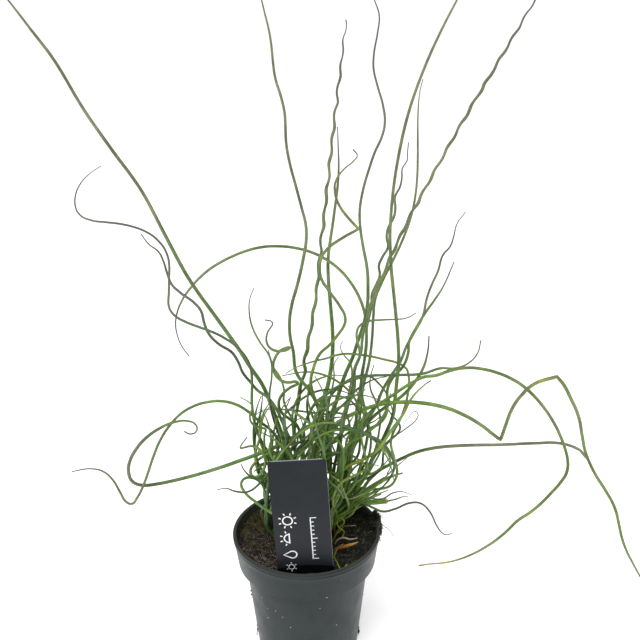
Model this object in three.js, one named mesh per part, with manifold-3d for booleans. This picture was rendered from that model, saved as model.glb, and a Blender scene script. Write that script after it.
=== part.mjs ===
// A corkscrew rush (spiral soft rush) growing in a plastic nursery pot.
//
// The pot is a turned shell, the soil a plug that fills it, and the plant a clump of small tufts.
// Each tuft is a crown with a few leafless stems, and stands in a plain hole in the soil.
//
// Frame: millimetres, +Z up, the middle of the pot's base at the origin, -Y towards the viewer.
// Stem routes are drawn on a flat board that stands square to one fixed line of sight.
// Each point of a route is then carried along its own sight line to its own depth, so the clump
// keeps the drawn look from the front and is round from every side.

import * as THREE from 'three';
import { mergeVertices } from 'three/addons/utils/BufferGeometryUtils.js';
import Module from 'manifold-3d';

const wasm = await Module();
wasm.setup();

const { Vector3, Vector2, MathUtils } = THREE;
const TURN = 2 * Math.PI;

// ---- driving dimensions ------------------------------------------------------------------------

const GAP = 0.35; // clear space between pieces that touch on the real thing

const POT = {
  rimRadius: 60,
  height: 107,
  collarHeight: 25.5,
  collarFootRadius: 56.2,
  bodyTopRadius: 50.6,
  baseRadius: 42,
  wall: 1.6,
  floor: 2.2,
  lip: 1.2,
  sides: 44,
  drains: 6,
  drainRadius: 4,
  drainRing: 29,
};

const SOIL = { top: 98, lumps: 90, lumpRadius: 5.5, lumpHeight: 1.5, rings: 7, sides: 32 };

const LABEL = {
  width: 42.8,
  shownHeight: 102,
  stakeHeight: 34,
  tipWidth: 5,
  thickness: 0.8,
  corner: 4,
  foot: new Vector3(0, -45.5, SOIL.top),
  lean: MathUtils.degToRad(2.9),
  tilt: MathUtils.degToRad(2.2),
};

const CLUMP = { x: -3, y: 13, reach: 37, spacing: 14.6, jitter: 1.1 };

const TUFT = { crownRadius: 5.6, crownDepth: 12, crownRise: 2.4, ring: 3.1, sides: 8, most: 6, filled: 5 };

// Stem radii at the foot.
const STOUT = 1.6;
const MEDIUM = 1.35;
const SLIM = 1.08;
const FINE = 0.85;

const STEM = {
  sunk: 6,
  thinnest: 0.5,
  straightStep: 34,
  // Rings that every stem has where it leaves the crown, by the length from its sunken foot.
  footRings: [10, 21],
  // The most that a straight piece may stand off the curve it stands for.
  sagitta: 0.52,
  // No piece is shorter than this many radii, and the last one is at least this long.
  shortest: 2.3,
  tipLength: 3.5,
  // A three-sided tube of this much larger radius looks as thick as the round stem it stands for.
  prism: 1.2,
  clear: 0.3,
  // A stem also sways towards and away from the viewer, by this much at most, over this length.
  // The share of a loosely wound stem, from its foot, that stays plain.
  plain: 0.15,
  sway: [8, 20],
  swayLength: [105, 180],
};

// How stems that would cross are eased apart: in so many rounds, down to this much missing space,
// with pairs found through cells of this size.
const EASE = {
  rounds: 260,
  enough: 0.02,
  cell: 7,
  refresh: 12,
  spare: 0.15,
  smooth: 9,
  own: 0.45,
  shared: 0.75,
};

// The room that stems keep from the label's card, the pot's rim and the soil's lumps.
const KEEP = {
  card: 0.8,
  behindCard: 12,
  cardTop: 3,
  rim: 1,
  insideRim: 6,
  belowRim: 12,
  soil: 2.4,
  step: 5,
};

// The drawing board: 640 mm square, square to the sight line, its middle 800 mm in front of the eye.
const EYE = new Vector3(12.8, -553.4, 493.8);
const BOARD = {
  distance: 800,
  middle: 320,
  drop: MathUtils.degToRad(20.35),
  roll: MathUtils.degToRad(-0.62),
};

// ---- small tools -------------------------------------------------------------------------------

// A seeded draw of numbers from 0 to 1.
function draws(seed) {
  let state = seed >>> 0;
  return () => {
    state = (state + 0x6d2b79f5) >>> 0;
    let t = state;
    t = Math.imul(t ^ (t >>> 15), t | 1);
    t ^= t + Math.imul(t ^ (t >>> 7), t | 61);
    return ((t ^ (t >>> 14)) >>> 0) / 4294967296;
  };
}

function solidOf(geometry) {
  const bare = new THREE.BufferGeometry();
  bare.setAttribute('position', geometry.getAttribute('position'));
  if (geometry.index) bare.setIndex(geometry.index);
  const merged = mergeVertices(bare, 1e-4);
  const vertProperties = merged.getAttribute('position').array;
  const triVerts = new Uint32Array(merged.index.array);
  return new wasm.Manifold(new wasm.Mesh({ numProp: 3, vertProperties, triVerts }));
}

function geometryOf(solid) {
  const mesh = solid.getMesh();
  const geometry = new THREE.BufferGeometry();
  geometry.setAttribute('position', new THREE.BufferAttribute(mesh.vertProperties, 3));
  geometry.setIndex(new THREE.BufferAttribute(mesh.triVerts, 1));
  geometry.computeVertexNormals();
  return geometry;
}

// A solid turned about the Z axis from [radius, height] points that run counter-clockwise.
function turned(profile, sides) {
  const points = profile.map(([r, z]) => new Vector2(r, z));
  return new THREE.LatheGeometry(points, sides).rotateX(Math.PI / 2);
}

function upright(radius, height, sides) {
  return new THREE.CylinderGeometry(radius, radius, height, sides).rotateX(Math.PI / 2);
}

// ---- pot ---------------------------------------------------------------------------------------

const COLLAR_FOOT = POT.height - POT.collarHeight;

// The inner wall, from the rim down to the floor, set in from the pot's inside by a distance.
function innerWall(inset) {
  const rim = POT.rimRadius - POT.lip - POT.wall - inset;
  return [
    [rim, POT.height],
    [POT.collarFootRadius - POT.wall - inset, COLLAR_FOOT + POT.wall + inset],
    [POT.bodyTopRadius - POT.wall - inset, COLLAR_FOOT - POT.wall + inset],
    [POT.baseRadius - POT.wall - inset, POT.floor + inset],
  ];
}

function wallRadiusAt(height, inset) {
  const [rim, step] = innerWall(inset);
  return MathUtils.mapLinear(height, step[1], rim[1], step[0], rim[0]);
}

function potSolid() {
  const { rimRadius, height, lip, collarFootRadius, bodyTopRadius, baseRadius, floor } = POT;
  const outside = [
    [0, 0],
    [baseRadius - 0.8, 0],
    [baseRadius, 0.9],
    [bodyTopRadius, COLLAR_FOOT],
    [collarFootRadius, COLLAR_FOOT],
    [rimRadius - lip, height - 3.4],
    [rimRadius, height - 2.8],
    [rimRadius, height - 0.8],
    [rimRadius - 0.9, height],
  ];
  let pot = solidOf(turned([...outside, ...innerWall(0), [0, floor]], POT.sides));
  for (let i = 0; i < POT.drains; i++) {
    const angle = (i / POT.drains) * TURN;
    const drain = upright(POT.drainRadius, 4 * floor, 12);
    drain.translate(POT.drainRing * Math.cos(angle), POT.drainRing * Math.sin(angle), floor / 2);
    pot = pot.subtract(solidOf(drain));
  }
  return pot;
}

// ---- soil --------------------------------------------------------------------------------------

const lumps = (() => {
  const draw = draws(11);
  const edge = wallRadiusAt(SOIL.top, 0);
  return Array.from({ length: SOIL.lumps }, () => {
    const r = edge * Math.sqrt(draw());
    const angle = draw() * TURN;
    const height = SOIL.lumpHeight * (draw() * 1.6 - 0.6);
    const radius = SOIL.lumpRadius * (0.6 + draw());
    return { x: r * Math.cos(angle), y: r * Math.sin(angle), height, radius };
  });
})();

function soilTop(x, y) {
  let z = SOIL.top;
  for (const lump of lumps) {
    const far = ((x - lump.x) ** 2 + (y - lump.y) ** 2) / lump.radius ** 2;
    if (far < 6) z += lump.height * Math.exp(-far);
  }
  return z;
}

function soilPlug() {
  const { rings, sides } = SOIL;
  const edge = wallRadiusAt(SOIL.top, GAP);
  const [, step, shoulder, floor] = innerWall(GAP);
  const points = [new Vector3(0, 0, soilTop(0, 0))];
  for (let ring = 1; ring <= rings; ring++) {
    const r = (edge * ring) / rings;
    for (let side = 0; side < sides; side++) {
      const angle = ((side + (ring % 2) / 2) / sides) * TURN;
      const x = r * Math.cos(angle);
      const y = r * Math.sin(angle);
      points.push(new Vector3(x, y, ring === rings ? SOIL.top : soilTop(x, y)));
    }
  }
  for (const [r, z] of [step, shoulder, floor]) {
    for (let side = 0; side < sides; side++) {
      const angle = ((side + (rings % 2) / 2) / sides) * TURN;
      points.push(new Vector3(r * Math.cos(angle), r * Math.sin(angle), z));
    }
  }
  points.push(new Vector3(0, 0, floor[1]));
  const faces = [];
  const bands = rings + 2;
  for (let side = 0; side < sides; side++) {
    const next = (side + 1) % sides;
    faces.push(0, 1 + side, 1 + next);
    for (let band = 0; band < bands; band++) {
      const inner = 1 + band * sides;
      const outer = inner + sides;
      // Every other ring is turned by half a side, so its triangles lean the other way.
      const leans = band < rings - 1 && band % 2 === 0;
      if (leans) {
        faces.push(inner + side, outer + side, inner + next, inner + next, outer + side, outer + next);
      } else {
        faces.push(inner + side, outer + side, outer + next, inner + side, outer + next, inner + next);
      }
    }
    const last = 1 + bands * sides;
    faces.push(last + side, points.length - 1, last + next);
  }
  const geometry = new THREE.BufferGeometry().setFromPoints(points);
  geometry.setIndex(faces);
  return solidOf(geometry);
}

// ---- label -------------------------------------------------------------------------------------

// The card with its round top corners and pointed stake, grown all round by a distance.
function labelGeometry(grown) {
  const half = LABEL.width / 2 + grown;
  const top = LABEL.shownHeight + grown;
  const tip = LABEL.tipWidth / 2 + grown;
  const stake = -LABEL.stakeHeight - grown;
  const card = new THREE.Shape();
  card.moveTo(-tip, stake);
  card.lineTo(tip, stake);
  card.lineTo(half, -6);
  card.lineTo(half, top - LABEL.corner);
  card.absarc(half - LABEL.corner, top - LABEL.corner, LABEL.corner, 0, TURN / 4, false);
  card.lineTo(-half + LABEL.corner, top);
  card.absarc(-half + LABEL.corner, top - LABEL.corner, LABEL.corner, TURN / 4, TURN / 2, false);
  card.lineTo(-half, -6);
  card.closePath();
  const depth = LABEL.thickness + 2 * grown;
  const geometry = new THREE.ExtrudeGeometry(card, { depth, bevelEnabled: false, curveSegments: 5 });
  geometry.translate(0, 0, -depth / 2);
  geometry.rotateX(Math.PI / 2);
  geometry.rotateY(-LABEL.lean);
  geometry.rotateX(LABEL.tilt);
  return geometry.translate(LABEL.foot.x, LABEL.foot.y, LABEL.foot.z);
}

// ---- the drawing board -------------------------------------------------------------------------

function sightLine([across, down]) {
  const a = across - BOARD.middle;
  const b = down - BOARD.middle;
  const right = a * Math.cos(BOARD.roll) + b * Math.sin(BOARD.roll);
  const up = a * Math.sin(BOARD.roll) - b * Math.cos(BOARD.roll);
  const forward = BOARD.distance * Math.cos(BOARD.drop) + up * Math.sin(BOARD.drop);
  const rise = up * Math.cos(BOARD.drop) - BOARD.distance * Math.sin(BOARD.drop);
  return new Vector3(right, forward, rise);
}

function atDepth(point, y) {
  const line = sightLine(point);
  return EYE.clone().addScaledVector(line, (y - EYE.y) / line.y);
}

function onSoil(point) {
  const line = sightLine(point);
  return EYE.clone().addScaledVector(line, (SOIL.top - EYE.z) / line.z);
}

// The board point that a place in space is seen at.
function boardPointOf(place) {
  const to = place.clone().sub(EYE);
  const forward = to.y * Math.cos(BOARD.drop) - to.z * Math.sin(BOARD.drop);
  const up = to.y * Math.sin(BOARD.drop) + to.z * Math.cos(BOARD.drop);
  const a = (BOARD.distance * to.x) / forward;
  const b = (-BOARD.distance * up) / forward;
  return [
    BOARD.middle + a * Math.cos(BOARD.roll) - b * Math.sin(BOARD.roll),
    BOARD.middle + a * Math.sin(BOARD.roll) + b * Math.cos(BOARD.roll),
  ];
}

// ---- stems drawn on the board ------------------------------------------------------------------

// Each stem: its name, its radius at the foot, the depth of its tip (+ is away from the viewer), and
// its route on the board from the tip down to where it leaves the soil. A last entry is either 'cut'
// for a stem without a tip, or the corkscrew that it winds round its route: the pitch on the board,
// the radius, the share of the stem from the foot that stays plain, and the turn it has at the tip.
const DRAWN = [
  // tall stems
  ['tall_left', STOUT, 90, [[-20, -34], [8, 0], [30, 28.5], [54, 60], [84, 110], [112, 150], [141, 190],
    [165, 235], [189, 279], [218, 320], [244, 357], [262, 388], [269, 401], [276, 420], [284, 440],
    [300, 500]]],
  ['tall_middle', STOUT, -40, [[253, -48], [257, -22], [261.5, 0], [270, 36], [275, 77], [284, 109],
    [287, 150], [299.5, 200], [306.5, 232], [300.5, 272], [290, 315], [291, 342], [302, 375], [312, 396],
    [319, 412], [319, 432], [314, 455], [308, 505]]],
  ['coiled_middle', MEDIUM, 30, [[346, 20], [341.6, 60], [337.9, 92], [333.4, 130], [329.4, 167],
    [325.3, 206], [321.3, 241], [318, 279], [315, 303], [308.7, 340], [303, 366], [300, 390], [297, 410],
    [294, 428], [296, 455], [300, 505]], [25, 1.15, 0.2, 0.68]],
  ['waved_tall', STOUT, 75, [[358, -52], [366, -25], [374.5, 0], [379.5, 18], [375, 46], [373.5, 68],
    [384, 111], [384, 130], [373, 157], [360.5, 203], [360.3, 228], [368, 276], [368, 308], [360, 333],
    [354, 354], [346, 372], [340, 390], [331, 410], [327, 435], [330, 500]]],
  ['tall_right', STOUT, -10, [[484, -50], [457, 0], [441, 31], [424, 69], [410, 108], [400.5, 146],
    [392.5, 197], [390, 250], [394.5, 301], [398, 340], [398.5, 368], [395.5, 392], [394, 411],
    [387, 431], [378, 447], [368, 466], [350, 512]]],
  ['coiled_right', MEDIUM, -70, [[556, -36], [535, 0], [502.5, 54.8], [465, 117.5], [429, 181.5],
    [404, 228.5], [388, 264], [373, 298], [366, 322], [362, 340], [361, 354], [354, 370], [355, 387],
    [349, 402], [343, 420], [338, 450], [332, 495]], [25.4, 0.95, 0.33, 0.055]],
  ['slim_left_of_tall', MEDIUM, 140, [[337.5, 127], [338.5, 175], [334, 215], [328, 262], [330, 300],
    [332.5, 330], [332, 360], [328, 385], [323, 408], [322, 430], [324, 458], [328, 505]]],
  ['slim_right_of_tall', SLIM, 110, [[423, 79], [419.5, 94], [418, 115], [417, 180], [412, 213],
    [400, 246], [384, 278], [375, 300], [373, 325], [371.5, 345], [368, 368], [362, 388], [357, 406],
    [356, 425], [350, 450], [340, 505]]],
  ['kinked', MEDIUM, -30, [[353, 149.5], [357.5, 156], [345, 168], [335.5, 182], [336.5, 199], [345, 214],
    [357, 226.5], [360, 229.5], [356, 232], [340, 239.5], [322, 256], [321, 278], [336, 300],
    [345.5, 320], [337, 336], [320, 357], [311, 377], [313, 393], [321, 412], [327, 440], [322, 497]]],
  // arches and loops to the left
  ['brown_tip', SLIM, -60, [[101, 166], [83, 180], [75, 198], [78, 213], [92, 220.5], [118, 223.5],
    [141, 229.5], [157, 239.5], [168, 257], [169, 285], [170, 310], [182, 320], [220, 335.5], [240, 350],
    [250, 366], [252, 385], [252, 405], [254, 420], [260, 438], [268, 451], [278, 468], [288, 508]]],
  ['waved_left', SLIM, 20, [[141, 234], [148, 243.5], [160, 253.5], [166, 270], [172, 285], [184, 295.5],
    [200, 309], [206, 329], [215, 341], [234, 354.5], [243, 373], [256, 387], [269, 397], [278, 412],
    [285, 429], [292, 443], [300, 493]]],
  ['great_arch', MEDIUM, 120, [[189, 356], [180, 343], [175.5, 323], [177.5, 312], [184, 297],
    [208, 270.5], [246, 251], [276, 246.2], [312, 252.5], [341, 271], [360, 299], [366, 322], [366, 345],
    [363, 370], [360, 390], [358, 412], [352, 436], [345, 465], [336, 510]]],
  ['left_arch', SLIM, -85, [[72, 471.5], [82, 469.5], [98, 469.5], [110, 476.5], [120, 492], [129, 504.5],
    [137, 498], [145.5, 480], [152.5, 459], [165, 432], [186, 410], [216, 401], [234, 403.8], [243, 408],
    [255, 417.7], [265, 426], [276, 436], [286, 457], [296, 503]]],
  ['left_loop', MEDIUM, -60, [[184.5, 431.5], [192, 434], [198, 428.5], [191, 421.8], [170, 423.3],
    [157, 430], [144.8, 439], [135, 451], [129.6, 462], [128.6, 471], [131, 480], [139, 484.8],
    [152, 484.6], [175.5, 480.2], [212, 470.2], [245, 458.8], [271, 449.6], [287, 446], [296, 470],
    [294, 528]]],
  ['thin_left', SLIM, 80, [[254, 288], [249.5, 300], [250.5, 321], [258, 339], [269, 355], [273, 367],
    [281, 379], [284, 390], [283.5, 400], [289, 413], [296, 424], [301, 446], [304, 495]]],
  ['thin_left_low', FINE, 45, [[268.5, 350], [271, 362], [272, 373], [270.5, 385], [269.5, 398],
    [272, 414], [279, 436], [290, 492]]],
  ['fine_curls', FINE, -45, [[265, 320], [272, 321], [266, 338], [271, 349], [282, 351], [292, 347.5],
    [283, 349], [275, 358], [273.5, 370], [279, 379], [290, 383], [301, 381.5], [292, 386.5], [282, 394],
    [278.5, 405], [284, 416], [295, 423], [303, 445], [306, 490]]],
  ['fine_kinked_left', FINE, -35, [[240.5, 397.5], [252, 405], [249.5, 416], [253, 424.5], [261, 427.8],
    [266, 429.5], [263.5, 438], [266, 448], [275, 467], [284, 507]]],
  ['fine_bridge', FINE, 60, [[255.5, 415], [259, 411.5], [268, 409.7], [284, 409.8], [304, 411.6],
    [325, 414.2], [337, 413.5], [346, 415], [350, 430], [348, 455], [340, 498]]],
  // loops beside the label
  ['ring_left', SLIM, -52, [[247, 437], [243, 445], [239.5, 450], [245, 447], [252, 446], [261, 451],
    [265.5, 461], [262, 472], [254, 477.5], [250, 471], [256, 462], [266, 455], [277, 452], [286, 466],
    [288, 532]]],
  ['big_loop_left', SLIM, -40, [[275, 515], [259, 504.7], [249, 495.5], [241.5, 487], [242.5, 479.5],
    [250, 477.5], [259, 481], [264, 488], [265.5, 502], [266, 548]]],
  ['dark_left', FINE, -48, [[217, 490], [221, 488], [230, 490], [240, 492], [250, 491], [258, 485],
    [266, 476], [273, 469], [281, 476], [282, 542]]],
  ['fine_left_low', FINE, -36, [[241, 464], [244, 470], [250, 476], [258, 479], [268, 480], [276, 490],
    [276, 545]]],
  ['hook_left', SLIM, -20, [[279, 461], [270, 462.5], [262, 464], [257.5, 467.5], [260, 473], [268, 477],
    [277, 487], [280, 530]]],
  // arches to the right
  ['front_arch', STOUT, -25, [[366, 501], [380, 489.5], [390, 478], [394, 465], [388, 452], [377, 442],
    [365, 434.5], [350, 428], [335, 424], [320, 424], [304, 430], [290, 441], [280, 455], [272, 472],
    [268, 488], [267.5, 510], [270, 550]]],
  ['second_arch', MEDIUM, -20, [[387, 474], [391, 466], [390, 457], [381, 445], [368, 434], [352, 430],
    [335, 431], [318, 438], [304, 448], [293, 462], [286, 520]]],
  ['low_arch', SLIM, 35, [[297, 436], [304, 418], [314, 405], [325, 398], [335, 396.5], [346, 398.5],
    [356, 403], [363, 412], [368, 424], [371, 440], [367, 460], [356, 482], [342, 512]]],
  ['mid_arch', MEDIUM, 90, [[393, 413], [390, 401], [384, 390], [375, 380], [366, 375], [352, 378.5],
    [340, 386], [331, 395], [324, 405], [318, 418], [311, 438], [306, 500]]],
  ['long_arch', SLIM, 30, [[286, 373.5], [302, 364], [320, 357.2], [336, 354.3], [352, 354.6], [371, 357],
    [390, 361], [402, 365], [407.5, 369], [408.8, 387], [406, 402], [400, 420], [391.5, 437],
    [391.5, 447], [395, 461], [397, 474], [391, 485.5], [379, 489], [363, 490], [350, 493], [336, 507]]],
  ['great_right_arch', STOUT, -75, [[419, 565.5], [430, 564], [446.5, 562.4], [463, 558], [483, 548.6],
    [503.7, 534], [516, 522], [536, 508], [550.6, 493.5], [563, 479], [568, 467], [562, 440],
    [542.4, 405.7], [511.8, 379], [475, 368], [448, 370.5], [424, 376.5], [405, 387], [390, 397],
    [377, 406], [366, 417], [352, 437], [345, 458], [337, 508]]],
  ['twisted_branch', MEDIUM, -15, [[481, 340], [479, 350.6], [470, 362], [457, 368], [440, 371.5],
    [424, 374.5], [400, 375], [377, 375.3], [362, 376.5], [347, 381], [333, 390], [321, 399], [312, 406],
    [305, 416], [299, 430], [292, 446], [290, 500]]],
  ['bent_right', MEDIUM, -90, [[656, 602], [640, 576], [624, 544.5], [614, 506], [593.5, 471],
    [585, 450.6], [579, 418], [567, 391], [559, 378], [555, 376], [545, 378.5], [526, 390.4],
    [508.5, 416], [503, 438], [501, 441], [498, 438.5], [487, 429], [452.6, 410], [418, 402.6],
    [385, 403.5], [365, 409], [345, 418], [328, 432], [316, 452], [308, 506]]],
  ['flat_right', MEDIUM, 40, [[587.3, 458.8], [581, 450.6], [560.8, 443.4], [536, 443.2], [501.6, 444.7],
    [463, 445.5], [434, 448], [412, 453.7], [395.5, 461.8], [380, 470], [370, 479], [361, 490],
    [350, 500], [338, 520]]],
  ['waved_right', SLIM, 65, [[408.5, 142.5], [406.3, 147], [408.3, 156], [406, 163], [401.6, 170],
    [402, 181.6], [394.5, 199], [395.5, 212], [386.5, 233], [388, 247], [379, 264], [380, 276],
    [371, 294], [371, 310], [367, 325], [366.5, 345], [363, 366], [361, 384], [363, 402], [367, 418],
    [368, 433], [364, 452], [356, 478], [346, 508]]],
  ['far_waved_one', SLIM, 150, [[465.5, 212], [458, 222], [454.5, 231], [452, 244], [443.5, 254],
    [437, 274], [428.5, 292], [423, 316], [414, 333], [407, 345], [402, 358], [397, 368], [390, 377],
    [383, 389], [378, 402], [370, 416], [360, 431], [353, 446], [346, 470], [346, 515]]],
  ['far_waved_two', SLIM, 15, [[454, 262], [447, 277], [441.5, 290], [426.5, 311], [415, 330], [409, 342],
    [408, 354], [404, 365], [396, 374], [389, 384], [387, 396], [387.5, 408], [383, 420], [371, 428],
    [358, 440], [350, 458], [342, 503]]],
  ['fine_across', FINE, -60, [[415.5, 313.5], [405, 318.5], [390, 319.5], [376, 320.4], [367, 321.8],
    [360, 325], [356.5, 333], [358, 343], [360, 354], [356, 366], [353, 385], [348, 404], [343, 428],
    [336, 492]]],
  ['fine_right_one', SLIM, 5, [[429, 336], [428, 350], [424, 366], [417, 379], [407, 391], [397, 400],
    [387, 406], [377, 413], [367, 423], [357, 436], [350, 456], [344, 506]]],
  ['bright_slant', STOUT, -50, [[431, 380.5], [420, 388.5], [409, 402], [402, 416], [394, 427],
    [385, 438], [376, 449], [364, 459], [350, 466], [336, 472], [326, 486], [318, 525]]],
  ['fine_ring_right', FINE, -30, [[402, 427.5], [406, 421], [411, 415], [416.5, 410.5], [418.5, 414],
    [416, 420], [408, 427], [396, 435], [386, 443], [374, 458], [358, 482], [346, 512]]],
  ['fine_top_small', FINE, 20, [[374, 365], [371, 374], [370, 387], [376, 402], [380, 415], [379, 432],
    [375, 450], [364, 475], [350, 508]]],
  ['fine_hook_one', FINE, 85, [[342.5, 341], [340.5, 348], [343, 354], [350, 362], [352, 376], [349, 392],
    [343, 418], [335, 492]]],
  ['fine_hook_two', FINE, 70, [[338.5, 357], [334.5, 363], [334, 378], [332, 396], [328, 424],
    [322, 490]]],
  ['fine_inner', FINE, -25, [[348, 386], [354, 389], [360, 397], [361.5, 408], [357, 424], [349, 446],
    [338, 497]]],
  ['dark_bow', FINE, -40, [[323, 452], [317, 443], [312.5, 434], [313, 423], [317, 412], [325, 408],
    [332, 420], [331, 445], [325, 495]]],
  // low stems over the rim
  ['low_wave', FINE, -30, [[452, 533], [444, 534.7], [437, 526], [430, 512], [422, 504], [415, 502.3],
    [405, 504.5], [392, 510], [383, 511.5], [375, 508], [366, 501], [354, 498], [342, 518]]],
  ['low_hair', FINE, -15, [[411.8, 495], [401.6, 491.4], [391.4, 493.5], [382, 499], [370, 499],
    [356, 499], [344, 522]]],
  ['low_dark', FINE, -25, [[408, 496.5], [402, 496.5], [395, 499.5], [386, 501.5], [375, 502.5],
    [360, 503], [343, 526]]],
  ['low_green', STOUT, 5, [[387, 501], [376, 501.5], [362, 504.5], [350, 510], [338, 522]], 'cut'],
  ['low_slant', SLIM, 25, [[402.5, 473], [397, 475], [388, 478], [376, 485], [364, 494], [351, 503],
    [338, 517]]],
  ['inner_tip', FINE, 35, [[379, 466], [368, 464.5], [355, 468], [345, 480], [334, 506]]],
  ['small_left_tip', FINE, 55, [[267, 441], [269, 449], [275, 462], [288, 506]]],
];

// ---- stems by rule -----------------------------------------------------------------------------

// The stems that fill the heart of the clump: their tips fall all round it, inside a field of the
// board, and each bends out on the way and winds loosely.
const HEART = {
  left: 290,
  right: 400,
  top: 368,
  bottom: 452,
  reach: [14, 78],
  bearingStep: TURN * 0.382,
  bow: 24,
  coilPitch: [46, 82],
  coilRadius: [1.5, 4.5],
};

// The place on the sight lines of one board height that is seen over a place on the ground.
function overGround(x, y, down) {
  const line = sightLine([boardPointOf(new Vector3(x, y, SOIL.top))[0], down]);
  return new Vector3(x, y, EYE.z + (line.z * (y - EYE.y)) / line.y);
}

function heartStem(tuft, index, draw) {
  const root = boardPointOf(new Vector3(tuft.x, tuft.y, SOIL.top));
  const bearing = HEART.bearingStep * (index + 0.7 * draw());
  const down = MathUtils.lerp(HEART.top, HEART.bottom, draw());
  let out = MathUtils.lerp(...HEART.reach, draw());
  const tipAt = () => overGround(tuft.x + out * Math.cos(bearing), tuft.y + out * Math.sin(bearing), down);
  const outside = ([across]) => across < HEART.left || across > HEART.right;
  while (out > 1 && outside(boardPointOf(tipAt()))) out *= 0.8;
  const tip = tipAt();
  const shown = boardPointOf(tip);
  const side = draw() < 0.5 ? -1 : 1;
  const bow = side * HEART.bow * (0.3 + 0.7 * draw());
  const route = [0, 0.22, 0.45, 0.7].map((share) => [
    MathUtils.lerp(shown[0], root[0], share) + bow * Math.sin(share * Math.PI * 1.5),
    MathUtils.lerp(shown[1], root[1], share),
  ]);
  const radius = MathUtils.lerp(FINE, MEDIUM, draw());
  const coil = [
    MathUtils.lerp(...HEART.coilPitch, draw()),
    MathUtils.lerp(...HEART.coilRadius, draw()),
    STEM.plain,
    draw(),
  ];
  return { name: 'heart', radius, depth: tip.y, route: [...route, root], coil };
}

// ---- tufts -------------------------------------------------------------------------------------

// The crowns stand in a staggered grid, each a little off its place.
function tuftPlaces() {
  const draw = draws(29);
  const places = [];
  const rowStep = CLUMP.spacing * Math.sqrt(0.75);
  const rows = Math.ceil(CLUMP.reach / rowStep);
  for (let row = -rows; row <= rows; row++) {
    const shift = row % 2 === 0 ? 0 : 0.5;
    for (let column = -rows; column <= rows; column++) {
      const x = (column + shift) * CLUMP.spacing;
      const y = row * rowStep;
      const angle = draw() * TURN;
      if (Math.hypot(x, y) > CLUMP.reach) continue;
      const off = CLUMP.jitter * draw();
      places.push({
        x: CLUMP.x + x + off * Math.cos(angle),
        y: CLUMP.y + y + off * Math.sin(angle),
        turn: angle,
        stems: [],
      });
    }
  }
  return places;
}

function joinNearestTuft(stem, tufts) {
  const root = onSoil(stem.route[stem.route.length - 1]);
  const free = tufts.filter((tuft) => tuft.stems.length < TUFT.most);
  free.sort((a, b) => Math.hypot(a.x - root.x, a.y - root.y) - Math.hypot(b.x - root.x, b.y - root.y));
  free[0].stems.push(stem);
}

function plantedTufts() {
  const tufts = tuftPlaces();
  for (const [name, radius, depth, route, extra] of DRAWN) {
    const coil = Array.isArray(extra) ? extra : null;
    joinNearestTuft({ name, radius, depth, route, coil, cut: extra === 'cut' }, tufts);
  }
  const draw = draws(5);
  let index = 0;
  for (const tuft of tufts) {
    while (tuft.stems.length < TUFT.filled) tuft.stems.push(heartStem(tuft, index++, draw));
  }
  return tufts;
}

// ---- stem centre lines -------------------------------------------------------------------------

// The smooth line of a stem in space, from its foot inside the crown to its tip.
function guideOf(stem, foot) {
  const board = stem.route.map(([across, down]) => new Vector3(across, down, 0)).reverse();
  const drawing = new THREE.CatmullRomCurve3(board, false, 'centripetal');
  drawing.arcLengthDivisions = 900;
  const length = drawing.getLength();
  const steps = Math.max(8, Math.ceil(length / 7));
  const draw = draws(Math.round(stem.depth * 7 + length));
  const sway = MathUtils.lerp(...STEM.sway, draw()) * Math.min(1, length / 300);
  const swayLength = MathUtils.lerp(...STEM.swayLength, draw());
  const phase = draw() * TURN;
  const points = [foot.clone().setZ(SOIL.top - STEM.sunk), foot.clone().setZ(SOIL.top + 5)];
  drawing.getSpacedPoints(steps).forEach((point, i) => {
    const share = i / steps;
    const rise = 16 / length;
    if (share < rise) return;
    const swing = MathUtils.smoothstep(share, 0.05, 0.4) * sway;
    const wave = swing * Math.sin((share * length * TURN) / swayLength + phase);
    points.push(atDepth([point.x, point.y], MathUtils.lerp(foot.y, stem.depth, share ** 1.15) + wave));
  });
  return new THREE.CatmullRomCurve3(points, false, 'centripetal');
}

// Fine points along the stem, with its corkscrew wound round the guide.
function fineLine(stem, foot) {
  const guide = guideOf(stem, foot);
  guide.arcLengthDivisions = 1200;
  const length = guide.getLength();
  const count = Math.ceil(length / 1.2);
  const points = guide.getSpacedPoints(count);
  if (!stem.coil) return points;
  const [pitch, radius, plain, start] = stem.coil;
  const across = new Vector3(1, 0, 0);
  const tangent = new Vector3();
  const other = new Vector3();
  const drawn = [0];
  const seen = points.map((point) => new Vector2(...boardPointOf(point)));
  for (let i = 1; i <= count; i++) drawn.push(drawn[i - 1] + seen[i].distanceTo(seen[i - 1]));
  return points.map((point, i) => {
    const share = i / count;
    tangent.subVectors(points[Math.min(i + 1, count)], points[Math.max(i - 1, 0)]).normalize();
    across.addScaledVector(tangent, -across.dot(tangent)).normalize();
    other.crossVectors(tangent, across);
    const swell = MathUtils.smoothstep(share, plain, plain + 0.15) * radius;
    const angle = TURN * (start + (drawn[count] - drawn[i]) / pitch);
    const wound = point.clone();
    wound.addScaledVector(across, swell * Math.cos(angle));
    return wound.addScaledVector(other, swell * Math.sin(angle));
  });
}

function radiusAt(stem, share) {
  if (stem.cut) return stem.radius;
  const slow = 1 - 0.28 * share;
  const tip = 1 - 0.6 * MathUtils.smoothstep(share, 0.72, 1);
  return Math.max(stem.radius * slow * tip, STEM.thinnest);
}

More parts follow.
